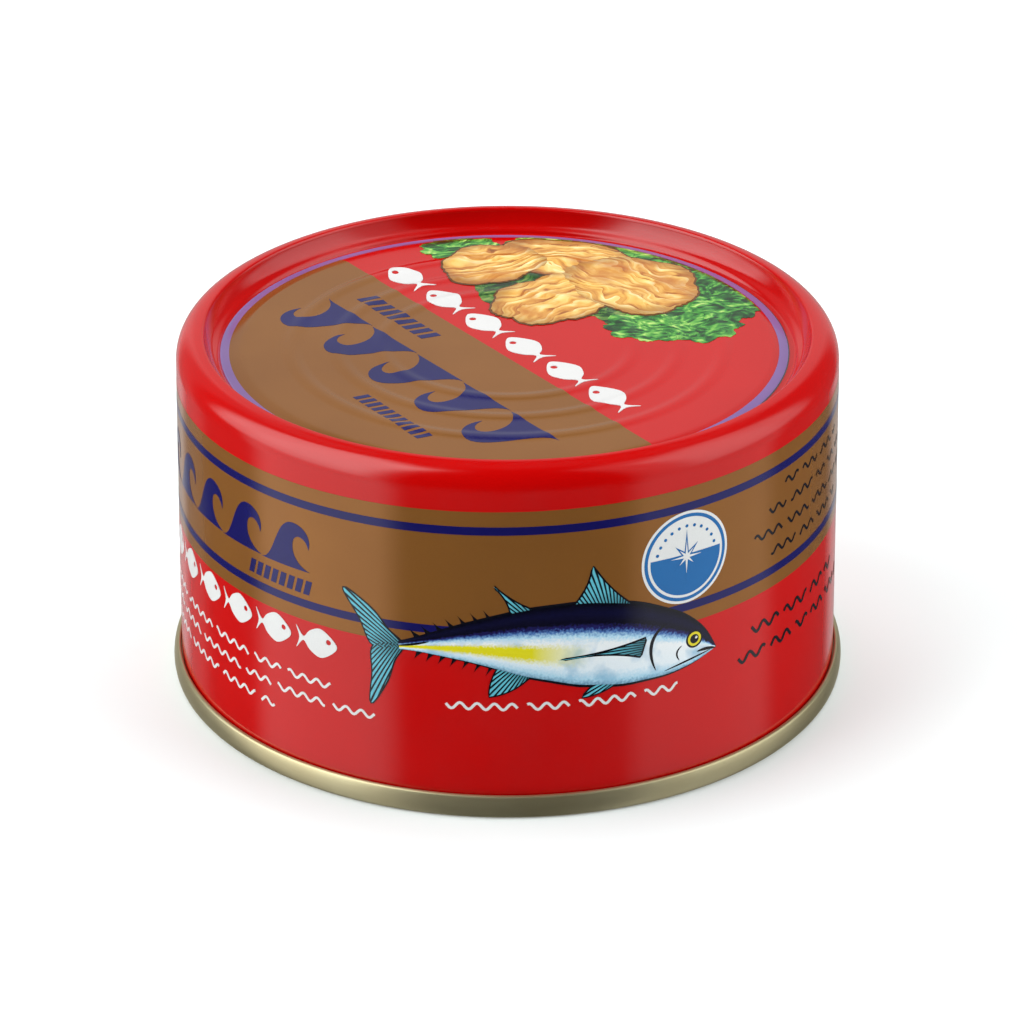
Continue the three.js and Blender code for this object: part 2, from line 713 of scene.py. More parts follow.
def turned(name: str, profile: list[Pair], segments: int) -> Piece:
    """Turn a profile that starts and ends on the axis into a closed smooth mesh.

    Args:
        name: The piece's name.
        profile: Distance from the axis and height, in millimetres.
        segments: Faces round the axis.

    Returns:
        The new object, at the origin.
    """
    turns = np.arange(segments) * 2 * math.pi / segments
    places = [(0.0, 0.0, profile[0][1] * MM)]
    for r, z in profile[1:-1]:
        places += [(r * MM * math.sin(a), -r * MM * math.cos(a), z * MM) for a in turns]
    places.append((0.0, 0.0, profile[-1][1] * MM))
    rings = len(profile) - 2
    last = len(places) - 1
    faces = []
    for j in range(segments):
        k = (j + 1) % segments
        faces.append((0, 1 + k, 1 + j))
        top = 1 + (rings - 1) * segments
        faces.append((last, top + j, top + k))
        for i in range(rings - 1):
            a, b = 1 + i * segments, 1 + (i + 1) * segments
            faces.append((a + j, a + k, b + k, b + j))
    mesh = bpy.data.meshes.new(name)
    mesh.from_pydata(places, [], faces)
    mesh.shade_smooth()
    mesh.set_sharp_from_angle(angle=math.radians(SHARP_ANGLE))
    return linked(name, mesh)


@dataclass
class CanBody:
    """Printed drawn body: wall, shoulder, rim, ledge, narrow groove and rippled panel."""

    height: float = 46.62
    wall_low: float = 42.63
    wall_high: float = 42.0
    shoulder: float = 3.37
    crest: float = 0.45
    inner_top: float = 38.35
    inner_foot: Pair = (37.45, 44.6)
    ledge: Pair = (36.7, 44.1)
    land: Pair = (36.45, 36.15)
    land_z: float = 43.66
    panel_radius: float = 33.5
    panel_z: float = 44.12
    ripples: tuple[float, ...] = (27.3, 21.6, 16.0)
    ripple_half: float = 1.5
    ripple_height: float = 0.16
    slope_ease: float = 0.2
    foot_z: float = 2.5
    roof_z: float = 4.75
    roof_radius: float = 42.15
    wall_top: float = 43.0
    corner_ease: float = 0.35
    panel_step: float = 0.3
    steps: int = 28
    crest_steps: int = 10
    segments: int = 256

    def wall(self, z: float) -> float:
        """Radius of the wall at a height."""
        return self.wall_low + (self.wall_high - self.wall_low) * z / (self.height - self.shoulder)

    def panel(self, r: float) -> float:
        """Height of the top panel inside the groove, ripples and outer slope included.

        Args:
            r: Distance from the axis.

        Returns:
            Height of the metal there.
        """
        z = self.panel_z + swell(r, self.ripples, self.ripple_half, self.ripple_height)
        if r > self.panel_radius:
            t = min((r - self.panel_radius) / (self.land[1] - self.panel_radius), 1.0)
            ease = self.slope_ease
            if t < ease:
                share = t * t / (2 * ease * (1 - ease))
            elif t > 1 - ease:
                share = 1 - (1 - t) ** 2 / (2 * ease * (1 - ease))
            else:
                share = (t - ease / 2) / (1 - ease)
            z += (self.land_z - self.panel_z) * share
        return z

    def top(self) -> list[Pair]:
        """Profile of the top from the crest's inner edge to the axis.

        Returns:
            Points from outside in.
        """
        corners = [
            (self.inner_top, self.height - self.crest),
            self.inner_foot,
            self.ledge,
            (self.land[0], self.land_z),
            (self.land[1], self.land_z),
        ]
        radii = np.arange(self.land[1], self.panel_step, -self.panel_step)
        inner = [(float(r), self.panel(float(r))) for r in radii]
        return eased(corners, self.corner_ease)[:-1] + inner + [(0.0, self.panel(0.0))]

    def profile(self) -> list[Pair]:
        """Whole profile, from the axis under the roof to the axis on top.

        Returns:
            Points that close the body.
        """
        levels = np.linspace(self.foot_z, self.wall_top, self.steps)
        side = [(self.wall(float(z)), float(z)) for z in levels]
        shoulder_r, shoulder_z = self.wall_high - self.shoulder, self.height - self.shoulder
        crest_r, crest_z = self.inner_top + self.crest, self.height - self.crest
        return [
            (0.0, self.roof_z),
            (self.roof_radius, self.roof_z),
            (self.roof_radius, self.foot_z),
            *side,
            *arc(shoulder_r, shoulder_z, self.shoulder, 0, 88, self.steps),
            *arc(crest_r, crest_z, self.crest, 90, 180, self.crest_steps),
            *self.top()[1:],
        ]

    def build(self) -> Piece:
        """Make the body's skin.

        Returns:
            The piece, not yet dressed.
        """
        return turned("printed_body", self.profile(), self.segments)

    def dress(self, piece: Piece) -> None:
        """Give the skin its red enamel and let it stand for its solid.

        Args:
            piece: The body's skin.
        """
        red = PrintInk("red_enamel", (187, 3, 2), (181, 2, 2))
        piece.data.materials.append(red.build())
        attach(piece, "root")
        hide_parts("can_body")


@dataclass
class SeamedEnd:
    """Gold lacquered end with its double seam, resting face and recessed underside."""

    radius: float = 43.65
    widest_z: float = 1.25
    camber: float = 0.14
    height: float = 2.98
    face_ends: Pair = (0.5, 2.72)
    lip_radius: float = 42.78
    groove: Pair = (42.7, 2.2)
    chuck_outer: float = 41.85
    top_z: float = 4.45
    rest_inner: float = 41.95
    chuck: Pair = (41.6, 41.3)
    countersink: Triple = (40.9, 40.2, 3.85)
    panel_radius: float = 39.4
    panel_depth: float = 3.15
    beads: tuple[float, ...] = (24.5, 33.0)
    bead_half: float = 1.6
    bead_height: float = 0.45
    panel_run: Triple = (0.6, 38.9, 0.45)
    chuck_z: Pair = (0.35, 3.4)
    lip_drops: Pair = (0.04, 0.25)
    sink_ease: float = 0.3
    lip_ease: float = 0.12
    edge_steps: int = 10
    face_steps: int = 14
    segments: int = 256

    def face(self, z: float) -> float:
        """Radius of the cambered outer face at a height."""
        return self.radius - self.camber * (z - self.widest_z) ** 2

    def rounding(self, z: float, edge_z: float, steps: int) -> list[Pair]:
        """Arc that leads from the outer face to its level edge.

        Args:
            z: Height on the face where the arc starts.
            edge_z: Height of the level edge.
            steps: Number of chords.

        Returns:
            Points from the face to the edge.
        """
        lean = math.atan(2 * self.camber * (z - self.widest_z))
        radius = abs(edge_z - z) / (1 - abs(math.sin(lean)))
        side = math.copysign(1.0, edge_z - z)
        middle = self.face(z) - radius * math.cos(lean)
        return arc(middle, edge_z - side * radius, radius, math.degrees(lean), 90 * side, steps)

    def under(self, r: float) -> float:
        """Height of the underside's panel over the table, beads included."""
        return self.panel_depth - swell(r, self.beads, self.bead_half, self.bead_height)

    def profile(self) -> list[Pair]:
        """Whole profile, from the axis underneath to the axis on top.

        Returns:
            Points that close the end.
        """
        panel = [(float(r), self.under(float(r))) for r in np.arange(*self.panel_run)]
        outer, inner, depth = self.countersink
        foot_z, head_z = self.face_ends
        foot = self.rounding(foot_z, 0.0, self.edge_steps)[::-1]
        head = self.rounding(head_z, self.height, self.edge_steps)
        sink = [
            panel[-1],
            (self.panel_radius, self.panel_depth),
            (inner, depth),
            (outer, depth),
            (self.chuck[1], self.chuck_z[1]),
            (self.chuck[0], self.chuck_z[0]),
            (self.rest_inner, 0.0),
            foot[0],
        ]
        levels = np.linspace(foot_z, head_z, self.face_steps)
        face = [(self.face(float(z)), float(z)) for z in levels]
        lip = [
            head[-1],
            (self.lip_radius, self.height - self.lip_drops[0]),
            (self.groove[0], self.height - self.lip_drops[1]),
            self.groove,
        ]
        return [
            (0.0, self.panel_depth),
            *panel[:-1],
            *eased(sink, self.sink_ease)[:-1],
            *foot,
            *face[1:-1],
            *head[:-1],
            *eased(lip, self.lip_ease)[:-1],
            self.groove,
            (self.chuck_outer, self.groove[1]),
            (self.chuck_outer, self.top_z),
            (0.0, self.top_z),
        ]

    def build(self) -> Piece:
        """Make the end's skin.

        Returns:
            The piece, not yet dressed.
        """
        return turned("double_seam_end", self.profile(), self.segments)

    def dress(self, piece: Piece) -> None:
        """Give the end its lacquer and let it stand for its solid.

        Args:
            piece: The end's skin.
        """
        piece.data.materials.append(GoldLacquer().build())
        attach(piece, "root")
        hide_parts("seamed_end")


# Flat shapes, in millimetres

# Rows of triangles in a cut sheet, and how far they keep from its rim, as shares of a triangle's side
FIRST_ROW = 0.43
ROW_PITCH = 0.866
RIM_GAP = 0.45

# How closely a face has to look along the skin to be shaded like it
ALONG_SKIN = 0.7


def turned_flat(xy: np.ndarray, turn: float) -> np.ndarray:
    """Turn flat places anticlockwise about the origin.

    Args:
        xy: Flat places.
        turn: Turn in degrees.

    Returns:
        The turned places.
    """
    c, s = math.cos(math.radians(turn)), math.sin(math.radians(turn))
    return np.c_[c * xy[:, 0] - s * xy[:, 1], s * xy[:, 0] + c * xy[:, 1]]


def circle(x: float, y: float, radius: float, steps: int = 48) -> np.ndarray:
    """A round outline.

    Args:
        x: Centre across.
        y: Centre up.
        radius: Radius.
        steps: Corners.

    Returns:
        Corners in order.
    """
    a = np.arange(steps) * 2 * math.pi / steps
    return np.c_[x + radius * np.cos(a), y + radius * np.sin(a)]


def star(x: float, y: float, long: float, short: float, waist: float, points: int = 8) -> np.ndarray:
    """A compass star with long and short points by turns.

    Args:
        x: Centre across.
        y: Centre up.
        long: Reach of every second point.
        short: Reach of the points between.
        waist: Distance of the notches from the centre.
        points: Number of points.

    Returns:
        Corners in order.
    """
    corners = []
    for i in range(2 * points):
        reach = waist if i % 2 else (long if i % 4 == 0 else short)
        a = math.pi * i / points + math.pi / 2
        corners.append((x + reach * math.cos(a), y + reach * math.sin(a)))
    return np.array(corners)


def smooth_loop(points: list[Pair], steps: int = 6) -> np.ndarray:
    """A closed smooth curve through a few points.

    Args:
        points: Points in order.
        steps: Chords between two points.

    Returns:
        Corners in order.
    """
    p = np.array(points, float)
    n = len(p)
    out = []
    for i in range(n):
        a, b, c, d = p[i - 1], p[i], p[(i + 1) % n], p[(i + 2) % n]
        for k in range(steps):
            t = k / steps
            bend = (2 * a - 5 * b + 4 * c - d) * t**2 + (3 * b - a - 3 * c + d) * t**3
            out.append(0.5 * (2 * b + (c - a) * t + bend))
    return np.array(out)


def sickle(root: Pair, heel: Pair, tip: Pair, lean: float) -> np.ndarray:
    """A swept fin between two root points and a tip.

    Args:
        root: Where the front edge starts.
        heel: Where the back edge ends.
        tip: The fin's tip.
        lean: How far the edges bow, as a share of their length.

    Returns:
        Corners in order.
    """
    a, b, c = (np.array(p, float) for p in (root, heel, tip))

    def bow(p: np.ndarray, q: np.ndarray, amount: float) -> list[np.ndarray]:
        """Draw a bowed edge.

        Args:
            p: Where it starts.
            q: Where it ends.
            amount: How far it bows, as a share of its length.

        Returns:
            Its points without the last.
        """
        side = np.array([-(q - p)[1], (q - p)[0]]) * amount
        middle = (p + q) / 2 + side
        steps = np.linspace(0, 1, 13)[:-1]
        return [(1 - t) ** 2 * p + 2 * t * (1 - t) * middle + t * t * q for t in steps]

    return np.array(bow(a, c, lean) + bow(c, b, lean * 1.3) + bow(b, a, 0.0))


@dataclass(frozen=True)
class UnevenForm:
    """A rounded form with lobes along an uneven edge, and its own picture places."""

    x: float
    y: float
    wide: float
    high: float
    turn: float
    seed: int
    lobes: int = 5
    depth: float = 0.07
    rough: float = 0.015
    steps: int = 110

    def outline(self) -> np.ndarray:
        """Draw the form's edge.

        Returns:
            Corners in order.
        """
        draw = np.random.default_rng(self.seed)
        a = np.arange(self.steps) * 2 * math.pi / self.steps
        phases = draw.uniform(0, 2 * math.pi, 3)
        r = 1 + self.depth * (np.abs(np.sin(self.lobes * a / 2 + phases[0])) - 0.6)
        r += 0.05 * np.cos(2 * a + phases[1]) + 0.05 * np.cos(3 * a + phases[2])
        r += self.rough * draw.normal(size=self.steps)
        flat = np.c_[self.wide * r * np.cos(a), self.high * r * np.sin(a)]
        return np.array([self.x, self.y]) + turned_flat(flat, self.turn)

    def marks(self, xy: np.ndarray) -> np.ndarray:
        """Picture places: along and across the form, and the depth inside its edge.

        Args:
            xy: Flat places.

        Returns:
            One row of three values for each place.
        """
        u, v = turned_flat(xy - np.array([self.x, self.y]), -self.turn).T
        depth = 1 - np.hypot(u / self.wide, v / self.high)
        return np.c_[u + 17.0 * self.seed, v, np.clip(depth, 0, 1)]


def bent(a: Pair, b: Pair, c: Pair, d: Pair) -> np.ndarray:
    """Points along a cubic curve, without its last point.

    Args:
        a: Start.
        b: First guide.
        c: Second guide.
        d: End.

    Returns:
        Points in order.
    """
    t = np.linspace(0, 1, 15)[:-1, None]
    p, q, r, e = (np.array([v], float) for v in (a, b, c, d))
    return (1 - t) ** 3 * p + 3 * t * (1 - t) ** 2 * q + 3 * t * t * (1 - t) * r + t**3 * e


def crest_wave(width: float, height: float) -> list[np.ndarray]:
    """A curling wave crest that stands on its base line.

    Args:
        width: Base width.
        height: Height of the crest.

    Returns:
        Its outline alone.
    """
    legs = [
        bent((0.0, 0.0), (0.28, 0.02), (0.3, 1.0), (0.64, 1.0)),
        bent((0.64, 1.0), (0.86, 1.0), (1.0, 0.76), (0.93, 0.5)),
        bent((0.93, 0.5), (0.9, 0.76), (0.68, 0.82), (0.64, 0.58)),
        bent((0.64, 0.58), (0.6, 0.3), (0.74, 0.06), (1.0, 0.0)),
    ]
    return [np.vstack(legs) * np.array([width, height])]


def leaning_bar(width: float, height: float, lean: float) -> list[np.ndarray]:
    """A bar with level ends that leans to the right.

    Args:
        width: Level width.
        height: Height.
        lean: How far the top stands to the right of the foot.

    Returns:
        Its outline alone.
    """
    x, y, slide = width / 2, height / 2, lean / 2
    return [np.array([(-x - slide, -y), (x - slide, -y), (x + slide, y), (slide - x, y)])]


def small_fish(long: float, high: float) -> list[np.ndarray]:
    """A plain fish, nose to the right and its middle at the origin, with a round eye.

    Args:
        long: Its length.
        high: Its height.

    Returns:
        Its outline and its eye.
    """
    back = [(0.36, 0.26), (0.1, 0.46), (-0.16, 0.3), (-0.32, 0.06), (-0.5, 0.36)]
    loop = [(0.5, 0.0), *back, (-0.42, 0.0), *[(x, -y) for x, y in back[::-1]]]
    outline = smooth_loop([(x * long, y * high) for x, y in loop], 4)
    return [outline, circle(0.3 * long, 0.1 * high, 0.06 * long, 12)]


def grown(loop: np.ndarray, by: float) -> np.ndarray:
    """Move an outline's corners outwards.

    Args:
        loop: Closed outline, either way round.
        by: How far.

    Returns:
        The larger outline.
    """
    before, after = np.roll(loop, 1, axis=0), np.roll(loop, -1, axis=0)
    way = after - before
    way /= np.maximum(np.hypot(way[:, 0], way[:, 1]), 1e-6)[:, None]
    area = float(np.sum(loop[:, 0] * after[:, 1] - after[:, 0] * loop[:, 1]))
    return loop + np.c_[way[:, 1], -way[:, 0]] * math.copysign(by, area)


def stroke(points: list[Pair], width: float, steps: int = 24) -> np.ndarray:
    """A curved stroke with pointed ends.

    Args:
        points: Three or four control points, the curve's ends first and last.
        width: Width in the middle.
        steps: Chords along it.

    Returns:
        Corners in order.
    """
    t = np.linspace(0, 1, steps + 1)
    p = [np.outer(np.ones(steps + 1), q) for q in points]
    while len(p) > 1:
        p = [(1 - t)[:, None] * a + t[:, None] * b for a, b in zip(p, p[1:])]
    way = np.gradient(p[0], axis=0)
    way /= np.maximum(np.hypot(way[:, 0], way[:, 1]), 1e-6)[:, None]
    swelling = width / 2 * np.sqrt(np.sin(math.pi * np.clip(t, 0.004, 0.996)))
    half = np.c_[-way[:, 1], way[:, 0]] * swelling[:, None]
    return np.vstack([p[0] - half, (p[0] + half)[::-1]])


Marks = Callable[[np.ndarray], np.ndarray]


def fanned(foot: Pair, tip: Pair) -> Marks:
    """Picture places on a fin: across its rays, which spread from behind its foot, and along it.

    Args:
        foot: Middle of its root.
        tip: Its tip.

    Returns:
        The function that marks places.
    """
    a, b = np.array(foot), np.array(tip)
    reach = float(np.hypot(*(b - a)))
    way = (b - a) / reach

    def marks(xy: np.ndarray) -> np.ndarray:
        """Mark flat places.

        Args:
            xy: Flat places.

        Returns:
            One row of three values for each place.
        """
        far = (xy - a) @ way
        off = (xy - a) @ np.array([-way[1], way[0]])
        across = np.arctan2(off, far + 0.9 * reach) * 1.9 * reach
        return np.c_[across, far / reach, np.zeros(len(xy))]

    return marks


def inside(points: np.ndarray, loops: list[np.ndarray]) -> np.ndarray:
    """Tell which points lie inside outlines, by the even-odd rule.

    Args:
        points: Points to test.
        loops: Closed outlines.

    Returns:
        One truth value for each point.
    """
    odd = np.zeros(len(points), bool)
    x, y = points[:, 0], points[:, 1]
    for loop in loops:
        ends = np.roll(loop, -1, axis=0)
        for (x1, y1), (x2, y2) in zip(loop, ends):
            if y1 == y2:
                continue
            spans = (y1 > y) != (y2 > y)
            odd ^= spans & (x < (x2 - x1) * (y - y1) / (y2 - y1) + x1)
    return odd


def divided(loop: np.ndarray, longest: float) -> np.ndarray:
    """Split an outline's long sides.

    Args:
        loop: Closed outline.
        longest: Longest side allowed.

    Returns:
        The outline with more corners.
    """
    out = []
    for a, b in zip(loop, np.roll(loop, -1, axis=0)):
        parts = max(1, math.ceil(np.hypot(*(b - a)) / longest))
        out += [a + (b - a) * k / parts for k in range(parts)]
    return np.array(out)


@dataclass
class FlatSheet:
    """A thin closed sheet laid out flat: across, up and lift, in millimetres."""

    places: np.ndarray
    faces: list[tuple[int, ...]]
    picture: np.ndarray | None = None

    def pictured(self, marks: Marks) -> "FlatSheet":
        """A copy whose corners carry picture places, read from their flat places."""
        return FlatSheet(self.places, self.faces, marks(self.places[:, :2]))

    def arched(self, radius: float, middle: float) -> "FlatSheet":
        """A copy that is bent upwards in its middle.

        Args:
            radius: Radius of the bend.
            middle: Where the bend is highest, across.

        Returns:
            The new sheet.
        """
        a = (self.places[:, 0] - middle) / radius
        r = radius + self.places[:, 1]
        p = np.c_[middle + r * np.sin(a), r * np.cos(a) - radius, self.places[:, 2]]
        return FlatSheet(p, self.faces, self.picture)

    def moved(self, x: float, y: float, turn: float = 0.0) -> "FlatSheet":
        """A copy that is turned about its origin and then moved.

        Args:
            x: Move across.
            y: Move up.
            turn: Turn in degrees, anticlockwise.

        Returns:
            The new sheet.
        """
        flat = turned_flat(self.places[:, :2], turn) + np.array([x, y])
        return FlatSheet(np.c_[flat, self.places[:, 2]], self.faces, self.picture)


def cut_sheet(loops: list[np.ndarray], lift: float, cell: float = 1.2) -> FlatSheet:
    """Fill outlines with small triangles and give the sheet its two faces and its edge.

    Args:
        loops: Closed outlines, filled by the even-odd rule.
        lift: Height of the upper face over the metal.
        cell: Size of the triangles.

    Returns:
        The closed sheet.
    """
    loops = [divided(np.asarray(loop, float), cell) for loop in loops]
    rim = np.vstack(loops)
    low, high = rim.min(0), rim.max(0)
    rows = np.arange(low[1] + cell * FIRST_ROW, high[1], cell * ROW_PITCH)
    grid = [
        (x, y)
        for k, y in enumerate(rows)
        for x in np.arange(low[0] + cell * (0.5 if k % 2 else 0.25), high[0], cell)
    ]
    grid = np.array(grid).reshape(-1, 2)
    if len(grid):
        grid = grid[inside(grid, loops)]
    if len(grid):
        near = np.array([np.min(np.hypot(*(rim - p).T)) for p in grid])
        grid = grid[near > cell * RIM_GAP]
    edges, start = [], 0
    for loop in loops:
        n = len(loop)
        edges += [(start + i, start + (i + 1) % n) for i in range(n)]
        start += n
    flat = [Vector(p) for p in np.vstack([rim, grid])]
    found, _, triangles, *_ = delaunay_2d_cdt(flat, edges, [], 0, 1e-5)
    xy = np.array([tuple(v) for v in found])
    corners = np.array([t for t in triangles if len(t) == 3])
    corners = corners[inside(xy[corners].mean(1), loops)]
    a, b, c = (xy[corners[:, i]] for i in range(3))
    area = (b[:, 0] - a[:, 0]) * (c[:, 1] - a[:, 1]) - (b[:, 1] - a[:, 1]) * (c[:, 0] - a[:, 0])
    corners[area < 0] = corners[area < 0][:, ::-1]
    corners = corners[np.abs(area) > 1e-9]
    return closed_sheet(xy, [tuple(int(i) for i in t) for t in corners], lift)


def closed_sheet(xy: np.ndarray, tops: list[tuple[int, ...]], lift: float) -> FlatSheet:
    """Give a flat mesh a lower face and an edge.

    Args:
        xy: Flat places.
        tops: Faces, anticlockwise.
        lift: Height of the upper face over the metal. The lower face lies SINK under it.

    Returns:
        The closed sheet.
    """
    n = len(xy)
    sides = {(t[i], t[(i + 1) % len(t)]) for t in tops for i in range(len(t))}
    faces = list(tops)
    faces += [tuple(i + n for i in t[::-1]) for t in tops]
    faces += [(j, i, i + n, j + n) for i, j in sides if (j, i) not in sides]
    upper = np.c_[xy, np.full(n, lift)]
    lower = np.c_[xy, np.full(n, -SINK)]
    return FlatSheet(np.vstack([upper, lower]), faces)


def round_sheet(
    inner: np.ndarray,
    outer: np.ndarray,
    step: float,
    lift: float,
    cut: tuple[np.ndarray, np.ndarray] | None = None,
) -> FlatSheet:
    """Fill the space between two closed lines round the axis with rows of small faces.

    Args:
        inner: Distance of the inner line from the axis, one for each turn step from -Y.
        outer: Distance of the outer line, likewise.
        step: Widest row.
        lift: Height of the upper face over the metal.
        cut: A place on a straight cut and the direction of what is cut away.

    Returns:
        The closed sheet.
    """
    turns = len(inner)
    a = np.arange(turns) * 2 * math.pi / turns
    rows = max(1, math.ceil(float(np.max(outer - inner)) / step))
    work = bmesh.new()
    rings = []
    for k in range(rows + 1):
        r = inner + (outer - inner) * k / rows
        rings.append([work.verts.new((x, y, 0.0)) for x, y in zip(r * np.sin(a), -r * np.cos(a))])
    for low, high in zip(rings, rings[1:]):
        for j in range(turns):
            k = (j + 1) % turns
            work.faces.new((low[j], high[j], high[k], low[k]))
    if cut:
        place, away = (Vector((float(p[0]), float(p[1]), 0.0)) for p in cut)
        parts = [*work.verts, *work.edges, *work.faces]
        bmesh.ops.bisect_plane(work, geom=parts, plane_co=place, plane_no=away, clear_outer=True)
    work.verts.index_update()
    xy = np.array([(v.co.x, v.co.y) for v in work.verts])
    tops = [tuple(v.index for v in f.verts) for f in work.faces]
    work.free()
    return closed_sheet(xy, tops, lift)


# Skins that the flat sheets are laid on


@dataclass
class WallSkin:
    """The side wall as a place for print. Across is the arc length from the front."""

    body: CanBody
    print_radius: float = 42.3

    def lay(self, flat: np.ndarray) -> tuple[np.ndarray, np.ndarray]:
        """Wrap flat places round the wall.

        Args:
            flat: Across, up and lift in millimetres.

        Returns:
            Places in metres, and the wall's outward directions there.
        """
        a, z = flat[:, 0] / self.print_radius, flat[:, 1]
        slope = (self.body.wall_low - self.body.wall_high) / (self.body.height - self.body.shoulder)
        r = self.body.wall_low - slope * z + flat[:, 2]
        out = np.c_[np.sin(a), -np.cos(a), np.full(len(a), slope)]
        out /= np.linalg.norm(out, axis=1)[:, None]
        return np.c_[r * np.sin(a), -r * np.cos(a), z] * MM, out


@dataclass
class LidSkin:
    """The top inside the rim as a place for print, seen from above."""

    body: CanBody
    step: float = 0.15
    radii: np.ndarray = field(init=False)
    heights: np.ndarray = field(init=False)

    def __post_init__(self) -> None:
        """Read the top's own profile once."""
        top = np.array(self.body.top()[::-1])
        self.radii, self.heights = top[:, 0], top[:, 1]

    def lay(self, flat: np.ndarray) -> tuple[np.ndarray, np.ndarray]:
        """Drop flat places onto the top.

        Args:
            flat: Across, up and lift in millimetres.

        Returns:
            Places in metres, and the outward directions there.
        """
        r = np.hypot(flat[:, 0], flat[:, 1])
        z = np.interp(r, self.radii, self.heights)
        ends = (r + self.step, np.abs(r - self.step))
        high, low = (np.interp(end, self.radii, self.heights) for end in ends)
        slope = (high - low) / (2 * self.step)
        away = flat[:, :2] / np.maximum(r, 1e-6)[:, None]
        out = np.c_[-slope[:, None] * away, np.ones(len(r))]
        out /= np.linalg.norm(out, axis=1)[:, None]
        base = np.c_[flat[:, :2], z]
        return (base + out * flat[:, 2:3]) * MM, out


def print_piece(name: str, sheets: list[FlatSheet], skin: WallSkin | LidSkin, ink: Material) -> Piece:
    """Lay sheets on a skin as one piece of print.

    Args:
        name: The piece's name.
        sheets: Flat sheets in one colour.
        skin: What they are laid on.
        ink: Their material.

    Returns:
        The piece, riding on the can.
    """
    flats, faces, start = [], [], 0
    for sheet in sheets:
        flats.append(sheet.places)
        faces += [tuple(i + start for i in f) for f in sheet.faces]
        start += len(sheet.places)
    flat = np.vstack(flats)
    places, out = skin.lay(flat)
    mesh = bpy.data.meshes.new(name)
    mesh.from_pydata([tuple(p) for p in places], [], faces)
    mesh.shade_smooth()
    normals = []
    for polygon, face in zip(mesh.polygons, faces):
        share = float(np.dot(polygon.normal, out[face[0]]))
        if share > ALONG_SKIN:
            normals += [tuple(out[i]) for i in face]
        elif share < -ALONG_SKIN:
            normals += [tuple(-out[i]) for i in face]
        else:
            normals += [tuple(polygon.normal)] * len(face)
    mesh.normals_split_custom_set(normals)
    if all(sheet.picture is not None for sheet in sheets):
        marks = mesh.attributes.new(PICTURE, "FLOAT_VECTOR", "POINT")
        marks.data.foreach_set("vector", np.vstack([sheet.picture for sheet in sheets]).ravel())
    mesh.materials.append(ink)
    piece = linked(name, mesh)
    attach(piece, "root")
    return piece


# Patterns that repeat or follow a path


@dataclass
class NodePattern:
    """A Geometry Nodes tree that is built once and run on small flat meshes."""

    name: str
    tree: bpy.types.NodeTree = field(init=False)
    sheet: NodeSheet = field(init=False)
    entry: bpy.types.Node = field(init=False)
    sockets: dict[str, str] = field(default_factory=dict)

    def __post_init__(self) -> None:
        """Start the tree with its geometry sockets and its named inputs."""
        self.tree = bpy.data.node_groups.new(self.name, "GeometryNodeTree")
        self.sheet = NodeSheet(self.tree)
        face = self.tree.interface
        face.new_socket("Geometry", in_out="INPUT", socket_type="NodeSocketGeometry")
        face.new_socket("Geometry", in_out="OUTPUT", socket_type="NodeSocketGeometry")
        for name, kind in self.inputs().items():
            self.sockets[name] = face.new_socket(name, in_out="INPUT", socket_type=kind).identifier
        self.entry = self.sheet.add("NodeGroupInput")
        made = self.wire()
        whole = self.sheet.add("GeometryNodeRealizeInstances")
        self.sheet.feed(whole, "Geometry", made)
        coat = self.sheet.add("GeometryNodeSetMaterial")
        self.sheet.feed(coat, "Geometry", whole.outputs["Geometry"])
        self.sheet.feed(coat, "Material", self.entry.outputs["Ink"])
        leave = self.sheet.add("NodeGroupOutput")
        self.sheet.feed(leave, "Geometry", coat.outputs["Geometry"])

    def inputs(self) -> dict[str, str]:
        """Named inputs and their socket types."""
        return {"Ink": "NodeSocketMaterial"}

    def wire(self) -> Socket:
        """Build the pattern itself and return its geometry socket."""
        return self.entry.outputs["Geometry"]

    def run(self, mesh: bpy.types.Mesh, values: dict[str, object]) -> FlatSheet:
        """Run the tree on a flat mesh.

        Args:
            mesh: The mesh that goes in.
            values: Values for the named inputs.

        Returns:
            The realised pattern as a flat sheet.
        """
        holder = linked(self.name + "_work", mesh)
        modifier = holder.modifiers.new("pattern", "NODES")
        modifier.node_group = self.tree
        for name, value in values.items():
            modifier[self.sockets[name]] = value
        graph = bpy.context.evaluated_depsgraph_get()
        plain = bpy.data.meshes.new_from_object(holder.evaluated_get(graph))
        holder.modifiers.remove(modifier)
        work = bmesh.new()
        work.from_mesh(plain)
        bmesh.ops.remove_doubles(work, verts=work.verts, dist=1e-5)
        bmesh.ops.recalc_face_normals(work, faces=work.faces)
        places = np.array([tuple(v.co) for v in work.verts])
        faces = [tuple(v.index for v in f.verts) for f in work.faces]
        work.free()
        bpy.data.objects.remove(holder)
        bpy.data.meshes.remove(plain)
        return FlatSheet(places, faces)


